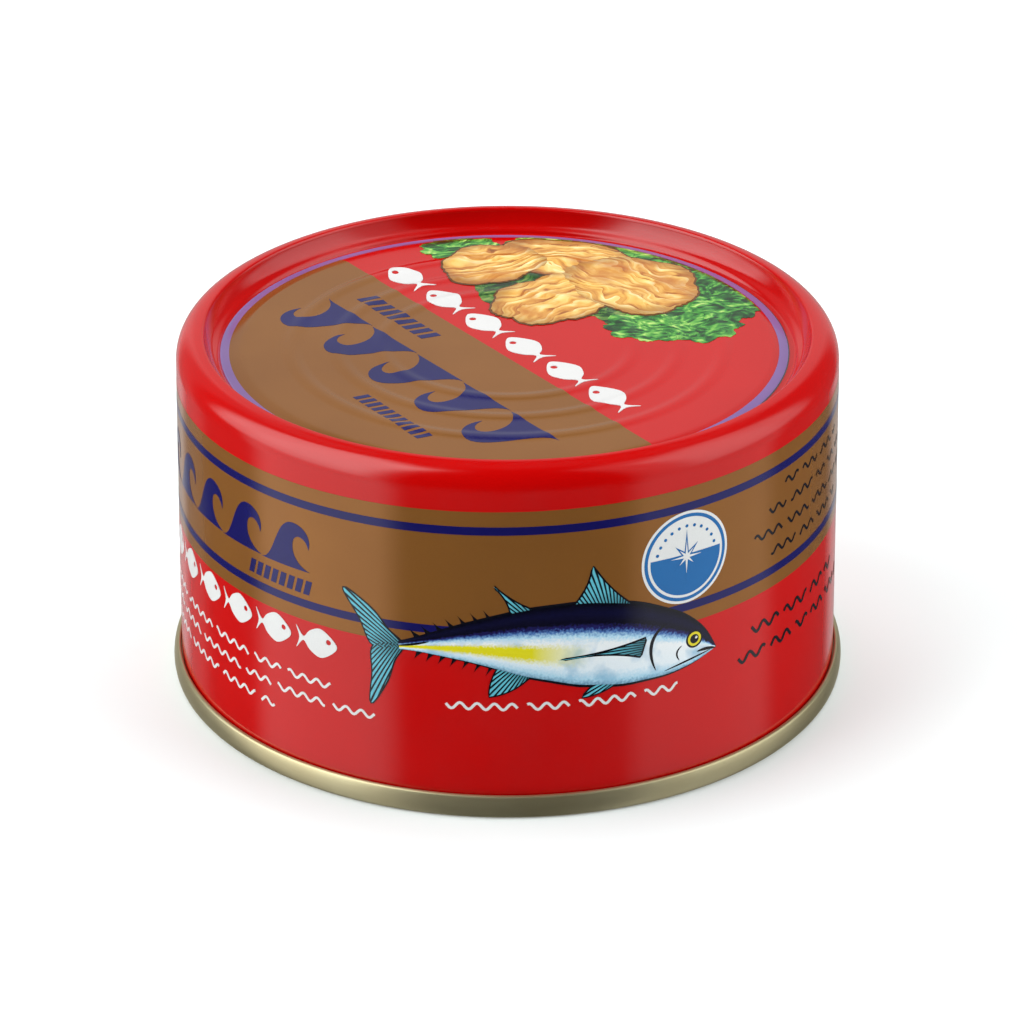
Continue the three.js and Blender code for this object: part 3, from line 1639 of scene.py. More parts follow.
@dataclass
class MotifRow(NodePattern):
    """Repeats the motif that goes in along a straight row."""

    name: str = "motif_row"

    def inputs(self) -> dict[str, str]:
        """Named inputs and their socket types."""
        return {"Count": "NodeSocketInt", "Pitch": "NodeSocketFloat", "Ink": "NodeSocketMaterial"}

    def wire(self) -> Socket:
        """Place the motif on a line of points.

        Returns:
            The copies' socket.
        """
        sheet, entry = self.sheet, self.entry
        line = sheet.add("GeometryNodeMeshLine", mode="OFFSET")
        sheet.feed(line, "Count", entry.outputs["Count"])
        sheet.feed(line, "Offset", sheet.vector(entry.outputs["Pitch"]))
        copies = sheet.add("GeometryNodeInstanceOnPoints")
        sheet.feed(copies, "Points", line.outputs["Mesh"])
        sheet.feed(copies, "Instance", entry.outputs["Geometry"])
        return copies.outputs["Instances"]

    def row(self, motif: FlatSheet, count: int, pitch: float, ink: Material) -> FlatSheet:
        """Repeat a motif.

        Args:
            motif: The flat sheet to repeat.
            count: How many.
            pitch: Distance from one to the next.
            ink: Material of the row.

        Returns:
            The whole row as one flat sheet.
        """
        mesh = bpy.data.meshes.new("motif")
        mesh.from_pydata([tuple(p) for p in motif.places], [], motif.faces)
        return self.run(mesh, {"Count": count, "Pitch": pitch, "Ink": ink})


@dataclass(frozen=True)
class WaveLine:
    """A level line of waves: its ends, its height and the seed of its runs."""

    start: float
    end: float
    level: float
    seed: int
    longest: float = 9.5
    gap: float = 1.2

    def spans(self) -> list[Triple]:
        """Break the line into runs of uneven length with small gaps.

        Returns:
            Start, end and height of each run.
        """
        draw = np.random.default_rng(self.seed)
        spans, x = [], self.start
        while x < self.end - 1.0:
            run = min(float(draw.uniform(0.45, 1.0)) * self.longest, self.end - x)
            spans.append((x, x + run, self.level))
            x += run + self.gap
        return spans


@dataclass(frozen=True)
class WaveStyle:
    """Wave length, wave height and stroke of a ripple."""

    length: float = 2.1
    height: float = 0.85
    stroke: float = 0.34


@dataclass
class RippleLine(NodePattern):
    """Draws each straight edge that goes in as a waved ribbon of ink."""

    name: str = "ripple_line"

    def inputs(self) -> dict[str, str]:
        """Name the pattern's inputs.

        Returns:
            Socket types by name.
        """
        return {
            "Wave Length": "NodeSocketFloat",
            "Wave Height": "NodeSocketFloat",
            "Stroke": "NodeSocketFloat",
            "Thickness": "NodeSocketFloat",
            "Ink": "NodeSocketMaterial",
        }

    def wire(self) -> Socket:
        """Wave the edges and give them a flat section.

        Returns:
            The ribbons' socket.
        """
        sheet, entry = self.sheet, self.entry
        curve = sheet.add("GeometryNodeMeshToCurve")
        sheet.feed(curve, "Mesh", entry.outputs["Geometry"])
        fine = sheet.add("GeometryNodeResampleCurve", mode="LENGTH")
        sheet.feed(fine, "Curve", curve.outputs["Curve"])
        sheet.feed(fine, "Length", sheet.times(entry.outputs["Wave Length"], 0.1))
        x, _, _ = sheet.parts(sheet.add("GeometryNodeInputPosition").outputs["Position"])
        turns = sheet.math("DIVIDE", x, entry.outputs["Wave Length"])
        wave = sheet.math("SINE", sheet.times(turns, 2 * math.pi))
        half = sheet.times(entry.outputs["Wave Height"], 0.5)
        waved = sheet.add("GeometryNodeSetPosition")
        sheet.feed(waved, "Geometry", fine.outputs["Curve"])
        sheet.feed(waved, "Offset", sheet.vector(0.0, sheet.times(wave, half)))
        upright = sheet.add("GeometryNodeSetCurveNormal", mode="Z_UP")
        sheet.feed(upright, "Curve", waved.outputs["Geometry"])
        section = sheet.add("GeometryNodeCurvePrimitiveQuadrilateral", mode="RECTANGLE")
        sheet.feed(section, "Width", entry.outputs["Stroke"])
        sheet.feed(section, "Height", entry.outputs["Thickness"])
        ribbon = sheet.add("GeometryNodeCurveToMesh")
        sheet.feed(ribbon, "Curve", upright.outputs["Curve"])
        sheet.feed(ribbon, "Profile Curve", section.outputs["Curve"])
        sheet.feed(ribbon, "Fill Caps", True)
        return ribbon.outputs["Mesh"]

    def draw(
        self, lines: tuple[WaveLine, ...], style: WaveStyle, ink: Material, lift: float = 0.05
    ) -> FlatSheet:
        """Draw waved ribbons along lines.

        Args:
            lines: The lines.
            style: Form of the waves.
            ink: Material of the ribbons.
            lift: Height of the upper face over the metal.

        Returns:
            All ribbons as one flat sheet.
        """
        places, edges = [], []
        for start, end, level in (span for line in lines for span in line.spans()):
            edges.append((len(places), len(places) + 1))
            places += [(start, level, 0.0), (end, level, 0.0)]
        mesh = bpy.data.meshes.new("spans")
        mesh.from_pydata(places, edges, [])
        values = {"Wave Length": style.length, "Wave Height": style.height}
        values |= {"Stroke": style.stroke, "Thickness": lift + SINK, "Ink": ink}
        sheet = self.run(mesh, values)
        sheet.places[:, 2] += (lift - SINK) / 2
        return sheet


@dataclass(frozen=True)
class RowPlan:
    """A row of one motif: shape, size, count, pitch, place, turn and size of its triangles."""

    shape: Callable[..., list[np.ndarray]]
    size: tuple[float, ...]
    count: int
    pitch: float
    place: Pair
    turn: float = 0.0
    cell: float = 0.5

    def sheet(self, rows: MotifRow, lift: float, ink: Material) -> FlatSheet:
        """Cut the motif and repeat it, from the origin along the level.

        Args:
            rows: The pattern that repeats it.
            lift: Height of the upper face over the metal.
            ink: Material of the row.

        Returns:
            The row, not yet in its place.
        """
        motif = cut_sheet(self.shape(*self.size), lift, self.cell)
        return rows.row(motif, self.count, self.pitch, ink)


# Printed work on the side


@dataclass
class WallPrint:
    """Bands, stripes and ornaments on the side wall, around the picture."""

    skin: WallSkin
    rows: MotifRow
    ripples: RippleLine
    band: Pair = (23.03, 41.28)
    band_tilt: Pair = (0.53, 0.66)
    stripes: Pair = (25.32, 38.76)
    stripe_width: float = 1.08
    stripe_tilt: Pair = (0.55, 0.62)
    hoop_steps: int = 256
    hoop_levels: int = 8
    band_lift: float = 0.02
    stripe_lift: float = 0.035
    lift: float = 0.05
    crests: RowPlan = RowPlan(crest_wave, (8.4, 6.2), 5, 8.0, (-65.5, 29.1), 0.25, 0.9)
    seeds: RowPlan = RowPlan(leaning_bar, (0.9, 1.9, 0.5), 8, 1.33, (-35.2, 27.25), 0.0, 0.6)
    shoal: RowPlan = RowPlan(small_fish, (6.1, 4.3), 7, 6.95, (-66.4, 20.1), 0.15, 0.7)
    left_lines: tuple[WaveLine, ...] = (
        WaveLine(-66.0, -22.6, 14.7, 3),
        WaveLine(-66.0, -16.6, 12.1, 4),
        WaveLine(-61.5, -31.6, 9.3, 5),
    )
    band_lines: tuple[WaveLine, ...] = (
        WaveLine(39.8, 57.0, 36.9, 11, 6.0),
        WaveLine(36.5, 61.5, 34.1, 12, 6.0),
        WaveLine(33.7, 61.5, 31.2, 13, 6.0),
        WaveLine(37.0, 57.0, 28.4, 14, 6.0),
    )
    right_lines: tuple[WaveLine, ...] = (
        WaveLine(33.4, 56.5, 18.9, 15, 6.5),
        WaveLine(31.1, 60.5, 15.5, 16, 6.5),
    )
    foot_lines: tuple[WaveLine, ...] = (WaveLine(-7.5, 21.6, 15.1, 17),)

    def hoop(self, low: float, high: float, tilts: Pair, lift: float) -> FlatSheet:
        """A band right round the can, a little higher on one side as printed.

        Args:
            low: Lower edge at the front.
            high: Upper edge at the front.
            tilts: Tilt of the lower and of the upper edge.
            lift: Height of the upper face over the metal.

        Returns:
            The band as a flat sheet whose ends meet.
        """
        steps, levels = self.hoop_steps, self.hoop_levels
        a = np.arange(steps) * 2 * math.pi / steps - math.pi
        across = a * self.skin.print_radius
        low_z, high_z = low + tilts[0] * np.sin(a), high + tilts[1] * np.sin(a)
        rows = [np.c_[across, low_z + (high_z - low_z) * k / levels] for k in range(levels + 1)]
        tops = []
        for i in range(levels):
            for j in range(steps):
                k = (j + 1) % steps
                tops.append((i * steps + j, i * steps + k, (i + 1) * steps + k, (i + 1) * steps + j))
        return closed_sheet(np.vstack(rows), tops, lift)

    def bands(self, inks: InkSet) -> list[Piece]:
        """Print the tan band and its two navy stripes.

        Args:
            inks: Materials of the inks.

        Returns:
            The pieces.
        """
        band = self.hoop(*self.band, self.band_tilt, self.band_lift)
        half = self.stripe_width / 2
        lines = []
        for middle, tilt in zip(self.stripes, self.stripe_tilt):
            lines.append(self.hoop(middle - half, middle + half, (tilt, tilt), self.stripe_lift))
        return [
            print_piece("tan_band", [band], self.skin, inks[Ink.TAN]),
            print_piece("navy_stripes", lines, self.skin, inks[Ink.NAVY]),
        ]

    def motifs(self, inks: InkSet) -> list[Piece]:
        """Ornaments left of the picture: navy crests and bars on the band, a shoal on the red.

        Args:
            inks: Materials of the inks.

        Returns:
            The pieces.
        """
        navy, white = inks[Ink.NAVY], inks[Ink.WHITE]
        crests, seeds, shoal = (
            plan.sheet(self.rows, self.lift, ink).moved(*plan.place, plan.turn)
            for plan, ink in ((self.crests, navy), (self.seeds, navy), (self.shoal, white))
        )
        return [
            print_piece("wall_crests", [crests, seeds], self.skin, navy),
            print_piece("wall_shoal", [shoal], self.skin, white),
        ]

    def waves(self, inks: InkSet) -> list[Piece]:
        """Waved lines: white ones on the red and dark ones on the band and right of the picture.

        Args:
            inks: Materials of the inks.

        Returns:
            The pieces.
        """
        black, white = inks[Ink.BLACK], inks[Ink.WHITE]
        left = self.ripples.draw(self.left_lines, WaveStyle(height=0.8), white)
        small = self.ripples.draw(self.band_lines, WaveStyle(), black)
        large = self.ripples.draw(self.right_lines, WaveStyle(2.5, 1.1, 0.42), black)
        foot = self.ripples.draw(self.foot_lines, WaveStyle(), white)
        return [
            print_piece("wall_white_ripples", [left], self.skin, white),
            print_piece("wall_dark_ripples", [small, large], self.skin, black),
            print_piece("wall_foot_ripple", [foot], self.skin, white),
        ]


@dataclass
class Roundel:
    """A white and blue compass roundel on the band."""

    skin: WallSkin
    across: float = 22.7
    up: float = 32.35
    radius: float = 6.15
    insets: tuple[float, ...] = (0.0, 0.35, 0.8, 1.15)
    sea_level: float = 0.6
    lifts: tuple[float, ...] = (0.05, 0.062, 0.07, 0.082)
    stars: tuple[Triple, ...] = ((3.6, 2.3, 0.75), (2.2, 1.4, 0.42))
    star_up: float = 0.1
    bead_count: int = 24
    bead_reach: float = 4.2
    bead_radius: float = 0.22
    cells: tuple[float, ...] = (1.0, 0.8, 0.8, 0.7, 0.7)

    def build(self, inks: InkSet) -> list[Piece]:
        """Print the roundel in three layers.

        Args:
            inks: Materials of the inks.

        Returns:
            The pieces.
        """
        white, blue = inks[Ink.WHITE], inks[Ink.SEA]
        circles = [circle(0, 0, self.radius - inset, 72) for inset in self.insets]
        sea = circles[3][circles[3][:, 1] < self.sea_level]
        beads = []
        for k in range(self.bead_count):
            a = 2 * math.pi * k / self.bead_count
            if math.sin(a) > 0.2:
                x, y = self.bead_reach * math.cos(a), self.bead_reach * math.sin(a)
                beads.append(circle(x, y, self.bead_radius, 10))
        large, small = (star(0, self.star_up, *reaches) for reaches in self.stars)
        layers = ([circles[0]], circles[1:3], [sea], [*beads, large], [small])
        lifts = (self.lifts[0], self.lifts[1], *self.lifts[1:])
        disc, ring, field_sheet, upper, lower = (
            cut_sheet(loops, lift, cell).moved(self.across, self.up)
            for loops, lift, cell in zip(layers, lifts, self.cells)
        )
        return [
            print_piece("roundel_disc", [disc], self.skin, white),
            print_piece("roundel_blue", [ring, field_sheet, upper], self.skin, blue),
            print_piece("roundel_star", [lower], self.skin, white),
        ]


@dataclass(frozen=True)
class Fin:
    """A swept fin: its two root places on the fish, its tip and the bow of its edges."""

    root: Pair
    heel: Pair
    tip: Pair
    lean: float


@dataclass
class PlainFish:
    """A gently arched fish drawn from stations along its length, nose to the right."""

    skin: WallSkin
    place: Pair = (27.8, 21.5)
    turn: float = -5.0
    length: float = 41.5
    arch: float = 80.0
    back: tuple[float, ...] = (0.0, 0.056, 0.1, 0.134, 0.138, 0.114, 0.072, 0.028, 0.011)
    belly: tuple[float, ...] = (0.0, 0.05, 0.094, 0.13, 0.134, 0.106, 0.058, 0.022, 0.011)
    stations: tuple[float, ...] = (0.0, 0.06, 0.15, 0.3, 0.45, 0.62, 0.78, 0.93, 1.0)
    fins: tuple[Fin, ...] = (
        Fin((0.29, 0.85), (0.5, 0.85), (0.45, 0.25), 0.14),
        Fin((0.56, 0.8), (0.66, 0.75), (0.71, 0.19), 0.16),
        Fin((0.69, -0.75), (0.59, -0.8), (0.73, -0.17), -0.16),
        Fin((0.37, -0.85), (0.31, -0.85), (0.43, -0.172), -0.12),
    )
    breast: Fin = Fin((0.26, 0.16), (0.265, -0.3), (0.52, -0.052), 0.08)
    lobe: tuple[Pair, ...] = (
        (0.985, 0.0),
        (1.02, 0.05),
        (1.06, 0.12),
        (1.13, 0.185),
        (1.1, 0.09),
        (1.075, 0.0),
    )
    finlet_start: float = 0.7
    finlet_pitch: float = 0.036
    finlet_count: int = 7
    cell: float = 0.6

    def edge(self, t: np.ndarray, heights: tuple[float, ...]) -> np.ndarray:
        """Smooth half height of the body along its length.

        Args:
            t: Share of the length from the nose.
            heights: Half heights at the stations.

        Returns:
            Half heights in millimetres.
        """
        fine = np.linspace(0, 1, 201)
        rough = np.interp(fine, self.stations, heights)
        kernel = np.hanning(27)
        padded = np.r_[-rough[13:0:-1], rough, np.full(13, rough[-1])]
        smooth = np.convolve(padded, kernel / kernel.sum(), "valid")
        return np.interp(t, fine, smooth) * self.length

    def body(self, reach: float, start: float, end: float) -> np.ndarray:
        """The body's outline between two shares of its length.

        Args:
            reach: Share of its height.
            start: Where it starts along the length.
            end: Where it ends.

        Returns:
            Corners in order.
        """
        t = start + (end - start) * (1 - np.cos(np.linspace(0, math.pi, 72))) / 2
        x = -t * self.length
        top, low = self.edge(t, self.back), self.edge(t, self.belly)
        return np.vstack([np.c_[x, -reach * low], np.c_[x, reach * top][::-1]])

    def spot(self, t: float, share: float) -> Pair:
        """A place on the body.

        Args:
            t: Share of the length from the nose.
            share: From -1 at the belly to 1 at the back.

        Returns:
            Across and up from the nose.
        """
        side = self.back if share > 0 else self.belly
        return (-t * self.length, share * float(self.edge(np.array([t]), side)[0]))

    def along_body(self, xy: np.ndarray) -> np.ndarray:
        """Picture places on the body: along from the nose, and up from the belly to the back.

        Args:
            xy: Flat places.

        Returns:
            One row of three values for each place.
        """
        t = np.clip(-xy[:, 0] / self.length, 0, 1)
        half = np.where(xy[:, 1] > 0, self.edge(t, self.back), self.edge(t, self.belly))
        return np.c_[t, xy[:, 1] / np.maximum(half, 0.05), np.zeros(len(t))]

    def blade(self, fin: Fin) -> tuple[np.ndarray, Marks]:
        """A fin's outline and its picture places.

        Args:
            fin: The fin.

        Returns:
            Corners in order, and the function that marks places.
        """
        root, heel = self.spot(*fin.root), self.spot(*fin.heel)
        tip = (-fin.tip[0] * self.length, fin.tip[1] * self.length)
        foot = ((root[0] + heel[0]) / 2, (root[1] + heel[1]) / 2)
        return sickle(root, heel, tip, fin.lean), fanned(foot, tip)

    def tail(self, side: float) -> tuple[np.ndarray, Marks]:
        """One lobe of the tail.

        Args:
            side: 1 for the upper lobe and -1 for the lower.

        Returns:
            Corners in order, and the function that marks places.
        """
        n = self.length
        loop = smooth_loop([(-x * n, y * n * side) for x, y in self.lobe])
        return loop, fanned((-0.99 * n, 0.0), (-1.12 * n, 0.15 * n * side))

    def finlets(self) -> list[np.ndarray]:
        """Small fins behind the swept ones, above and below.

        Returns:
            Their outlines.
        """
        loops = []
        for k in range(self.finlet_count):
            t = self.finlet_start + self.finlet_pitch * k
            for side, share in ((1.0, 0.8), (-1.0, -0.8)):
                a, b = self.spot(t, share), self.spot(t + 0.028, share)
                tip = (-(t + 0.04) * self.length, self.spot(t, side)[1] + 0.85 * side)
                loops.append(sickle(a, b, tip, 0.1 * side))
        return loops

    def put(self, loops: list[np.ndarray], lift: float, marks: Marks | None = None) -> list[FlatSheet]:
        """Cut loops, arch them and put them in the fish's place.

        Args:
            loops: Outlines, each filled by itself.
            lift: Height of the upper face over the metal.
            marks: The function that gives their picture places.

        Returns:
            Placed sheets.
        """
        sheets = []
        for loop in loops:
            sheet = cut_sheet([loop], lift, self.cell)
            if marks:
                sheet = sheet.pictured(marks)
            sheets.append(sheet.arched(self.arch, -self.length / 2).moved(*self.place, self.turn))
        return sheets

    def face(self) -> list[np.ndarray]:
        """Dark strokes: mouth, gill, cheek, jaw and nostril, and the keel at the tail.

        Returns:
            Their outlines.
        """
        spot = self.spot
        mouth = stroke([(-0.1, -0.15), spot(0.035, -0.16), spot(0.07, -0.36)], 0.42)
        gill = stroke([spot(0.2, 0.62), spot(0.245, 0.3), spot(0.25, -0.2), spot(0.2, -0.78)], 0.46)
        cheek = stroke([spot(0.13, -0.02), spot(0.155, -0.28), spot(0.125, -0.6)], 0.26)
        jaw = stroke([spot(0.02, -0.6), spot(0.09, -0.72), spot(0.17, -0.86)], 0.26)
        keel = stroke([spot(0.9, 0.3), spot(0.95, 0.0), spot(1.0, 0.0)], 0.3)
        return [mouth, gill, cheek, jaw, keel, circle(*spot(0.045, 0.42), 0.2, 12)]

    def build(self, inks: InkSet) -> list[Piece]:
        """Print the fish in layers.

        Args:
            inks: Materials of the inks.

        Returns:
            The pieces.
        """
        blades = [self.blade(fin) for fin in self.fins] + [self.tail(1.0), self.tail(-1.0)]
        breast, breast_marks = self.blade(self.breast)
        eye = self.spot(0.092, 0.3)
        outline = [self.body(1.05, 0.0, 1.0), *self.finlets()]
        outline += [grown(loop, 0.2) for loop, _ in blades]
        webs = [sheet for loop, marks in blades for sheet in self.put([loop], 0.058, marks)]
        webs += self.put([breast], 0.086, breast_marks)
        dark = self.put([grown(breast, 0.26), *self.face()], 0.076)
        dark += self.put([circle(*eye, 1.22, 32)], 0.076) + self.put([circle(*eye, 0.62, 28)], 0.098)
        glint = circle(eye[0] + 0.2, eye[1] + 0.22, 0.18, 12)
        layers = (
            ("fish_outline", self.put(outline, 0.05), Ink.BLACK),
            ("fish_fins", webs, Ink.FIN),
            ("fish_side", self.put([self.body(0.985, 0.004, 0.995)], 0.066, self.along_body), Ink.FISH),
            ("fish_dark_marks", dark, Ink.BLACK),
            ("fish_eye_ring", self.put([circle(*eye, 0.95, 32)], 0.088), Ink.YELLOW),
            ("fish_glint", self.put([glint], 0.108), Ink.WHITE),
        )
        return [print_piece(name, sheets, self.skin, inks[ink]) for name, sheets, ink in layers]


# Printed work on the top


LEAVES = (
    UnevenForm(24.0, 6.8, 6.8, 5.8, 20, 21, 11, 0.17, 0.02),
    UnevenForm(18.0, 4.8, 5.6, 4.2, -10, 22, 9, 0.17, 0.02),
    UnevenForm(28.2, 13.4, 5.0, 6.6, 10, 23, 11, 0.17, 0.02),
    UnevenForm(25.4, 20.6, 5.0, 5.8, 35, 24, 9, 0.17, 0.02),
    UnevenForm(17.6, 28.4, 6.0, 4.0, -25, 25, 9, 0.17, 0.02),
    UnevenForm(6.0, 31.8, 6.4, 2.6, 0, 27, 9, 0.17, 0.02),
    UnevenForm(-6.6, 30.8, 5.0, 3.4, 20, 26, 9, 0.17, 0.02),
)
FLAKES = (
    UnevenForm(7.6, 27.0, 9.4, 5.6, -14, 42, 5, 0.1, 0.012),
    UnevenForm(-2.0, 25.2, 7.0, 6.0, 24, 41, 6, 0.1, 0.012),
    UnevenForm(6.8, 14.4, 9.6, 6.8, 40, 43, 7, 0.1, 0.012),
    UnevenForm(16.4, 18.4, 9.4, 8.0, -38, 44, 6, 0.1, 0.012),
)
BED = (
    UnevenForm(8.6, 20.4, 13.2, 11.4, 30, 61, 7, 0.06, 0.012),
    UnevenForm(20.6, 15.0, 9.4, 12.0, -20, 62, 7, 0.06, 0.012),
)


@dataclass
class LidPrint:
    """Tan field, printed circles, ornaments and a serving picture inside the rim.

    The places of its rows are a run along the colour line and a distance to its red side. The slip
    is a dark line under the outer circle: its reach inwards, outwards, and at most beyond the circle.
    """

    skin: LidSkin
    rows: MotifRow
    line_low: Pair = (16.75, -28.4)
    line_high: Pair = (-21.6, 26.6)
    ring_shift: float = -0.43
    ring: Pair = (34.85, 36.0)
    overlap: float = 0.4
    field_step: float = 0.4
    ring_step: float = 0.2
    slip: Triple = (0.3, 0.15, 0.02)
    lift: float = 0.06
    cell: float = 0.5
    margin: float = 0.25
    crests: RowPlan = RowPlan(crest_wave, (10.6, 9.0), 5, 10.3, (6.0, -8.6))
    seeds: RowPlan = RowPlan(leaning_bar, (1.1, 2.6, 0.6), 9, 1.75, (40.5, -4.4))
    dots: RowPlan = RowPlan(leaning_bar, (0.8, 2.0, 0.4), 11, 1.35, (16.5, -21.4))
    shoal: RowPlan = RowPlan(small_fish, (7.9, 4.9), 6, 9.0, (12.2, 3.6))

    def along(self, run: float, off: float) -> Pair:
        """A place by its run along the colour line and its distance to the red side.

        Args:
            run: Distance from the line's lower end.
            off: Distance to the red side.

        Returns:
            Place on the top.
        """
        a, b = np.array(self.line_low), np.array(self.line_high)
        way = (b - a) / np.hypot(*(b - a))
        side = np.array([way[1], -way[0]])
        p = a + way * run + side * off
        return (float(p[0]), float(p[1]))

    def turn(self) -> float:
        """Angle of a row that runs along the colour line, in degrees."""
        (x1, y1), (x2, y2) = self.line_low, self.line_high
        return math.degrees(math.atan2(y2 - y1, x2 - x1))

    def ringed(self, radius: float, turns: int = 256) -> np.ndarray:
        """Distance of a printed circle from the can's axis. It is printed a little to the left.

        Args:
            radius: The circle's radius.
            turns: Steps round, from -Y.

        Returns:
            One distance for each step.
        """
        a = np.arange(turns) * 2 * math.pi / turns
        near = self.ring_shift * np.sin(a)
        return near + np.sqrt(radius**2 - self.ring_shift**2 + near**2)

    def fields(self, inks: InkSet) -> list[Piece]:
        """Print the tan field and the two circles.

        Args:
            inks: Materials of the inks.

        Returns:
            The pieces.
        """
        place = np.array(self.line_low)
        away = np.array(self.along(0, 1.0)) - place
        whole, inner, edge = (self.ringed(r) for r in (self.ring[0] + self.overlap, *self.ring))
        hub = np.full(len(whole), self.overlap)
        tan = round_sheet(hub, whole, self.field_step, 0.035, (place, away))
        ring = round_sheet(inner, edge, self.ring_step, 0.05)
        reach = np.minimum(edge + self.slip[1], self.ring[1] + self.slip[2])
        slip = round_sheet(edge - self.slip[0], reach, self.ring_step, 0.03)
        return [
            print_piece("lid_tan_field", [tan], self.skin, inks[Ink.TAN]),
            print_piece("lid_shadow_line", [slip], self.skin, inks[Ink.GREY]),
            print_piece("lid_ring", [ring], self.skin, inks[Ink.VIOLET]),
        ]

    def ornaments(self, inks: InkSet) -> list[Piece]:
        """Print the crests, seeds and shoal beside the colour line.

        Args:
            inks: Materials of the inks.

        Returns:
            The pieces.
        """
        navy, white = inks[Ink.NAVY], inks[Ink.WHITE]

        def laid(plan: RowPlan, ink: Material) -> FlatSheet:
            """Make a row and lay it along the colour line."""
            return plan.sheet(self.rows, self.lift, ink).moved(*self.along(*plan.place), self.turn())

        dark = [laid(plan, navy) for plan in (self.crests, self.seeds, self.dots)]
        return [
            print_piece("lid_crests", dark, self.skin, navy),
            print_piece("lid_shoal", [laid(self.shoal, white)], self.skin, white),
        ]

    def served(self, form: UnevenForm, lift: float) -> FlatSheet:
        """Cut one form of the serving, kept inside the printed circle.

        Args:
            form: The form.
            lift: Height of the upper face over the metal.

        Returns:
            The sheet with its picture places.
        """
        centre = np.array([self.ring_shift, 0.0])
        away = form.outline() - centre
        r = np.hypot(away[:, 0], away[:, 1])
        loop = centre + away * np.minimum(1.0, (self.ring[0] - self.margin) / r)[:, None]
        return cut_sheet([loop], lift, self.cell).pictured(form.marks)

    def serving(self, inks: InkSet) -> list[Piece]:
        """Print a plain serving: golden pieces heaped on curled leaves.

        Args:
            inks: Materials of the inks.

        Returns:
            The pieces.
        """
        wider = [replace(form, wide=form.wide + 0.3, high=form.high + 0.3) for form in FLAKES]
        layers = (
            ("serving_bed", BED, 0.045, 0.0, Ink.BED),
            ("serving_leaves", LEAVES, 0.055, 0.004, Ink.LEAF),
            ("serving_shade", wider, 0.094, 0.0, Ink.SHADE),
            ("serving_pieces", FLAKES, 0.11, 0.016, Ink.FLESH),
        )
        pieces = []
        for name, forms, lift, rise, ink in layers:
            sheets = [self.served(form, lift + rise * k) for k, form in enumerate(forms)]
            pieces.append(print_piece(name, sheets, self.skin, inks[ink]))
        return pieces


# Stage


@dataclass
class Softbox:
    """A large soft light aimed at the can. It isn't mirrored: the sky's panels are."""

    name: str
    place: Triple
    size: Pair
    power: float
    target: Triple = (0.0, 0.0, 0.02)

    def build(self) -> None:
        """Hang the light and aim it."""
        lamp = bpy.data.lights.new(self.name, "AREA")
        lamp.shape = "RECTANGLE"
        lamp.size, lamp.size_y = self.size
        lamp.energy = self.power
        holder = linked(self.name, lamp)
        aim(holder, self.place, self.target)
        holder.visible_glossy = False


@dataclass(frozen=True)
class SkyPanel:
    """A soft bright panel of the sky, by its turn from the front and its height, in degrees."""

    turn: Pair
    height: Pair
    strength: float
    edge: float = 9.0

    def window(self, sheet: NodeSheet, value: Socket, ends: Pair) -> Socket:
        """Fade a value in at one end and out at the other.

        Args:
            sheet: The sky's tree.
            value: The angle to test.
            ends: Where the panel starts and ends.

        Returns:
            One inside and nought outside, with soft ends.
        """
        half = self.edge / 2
        rise = spread(sheet, value, ends[0] - half, ends[0] + half, (0.0, 1.0))
        fall = spread(sheet, value, ends[1] - half, ends[1] + half, (1.0, 0.0))
        return sheet.times(rise, fall)

    def glow(self, sheet: NodeSheet, turn: Socket, height: Socket) -> Socket:
        """Build the panel's share of the sky.

        Args:
            sheet: The sky's tree.
            turn: Turn from the front, in degrees.
            height: Height over the floor, in degrees.

        Returns:
            The panel's brightness.
        """
        across = self.window(sheet, turn, self.turn)
        up = self.window(sheet, height, self.height)
        return sheet.times(sheet.times(across, up), self.strength)


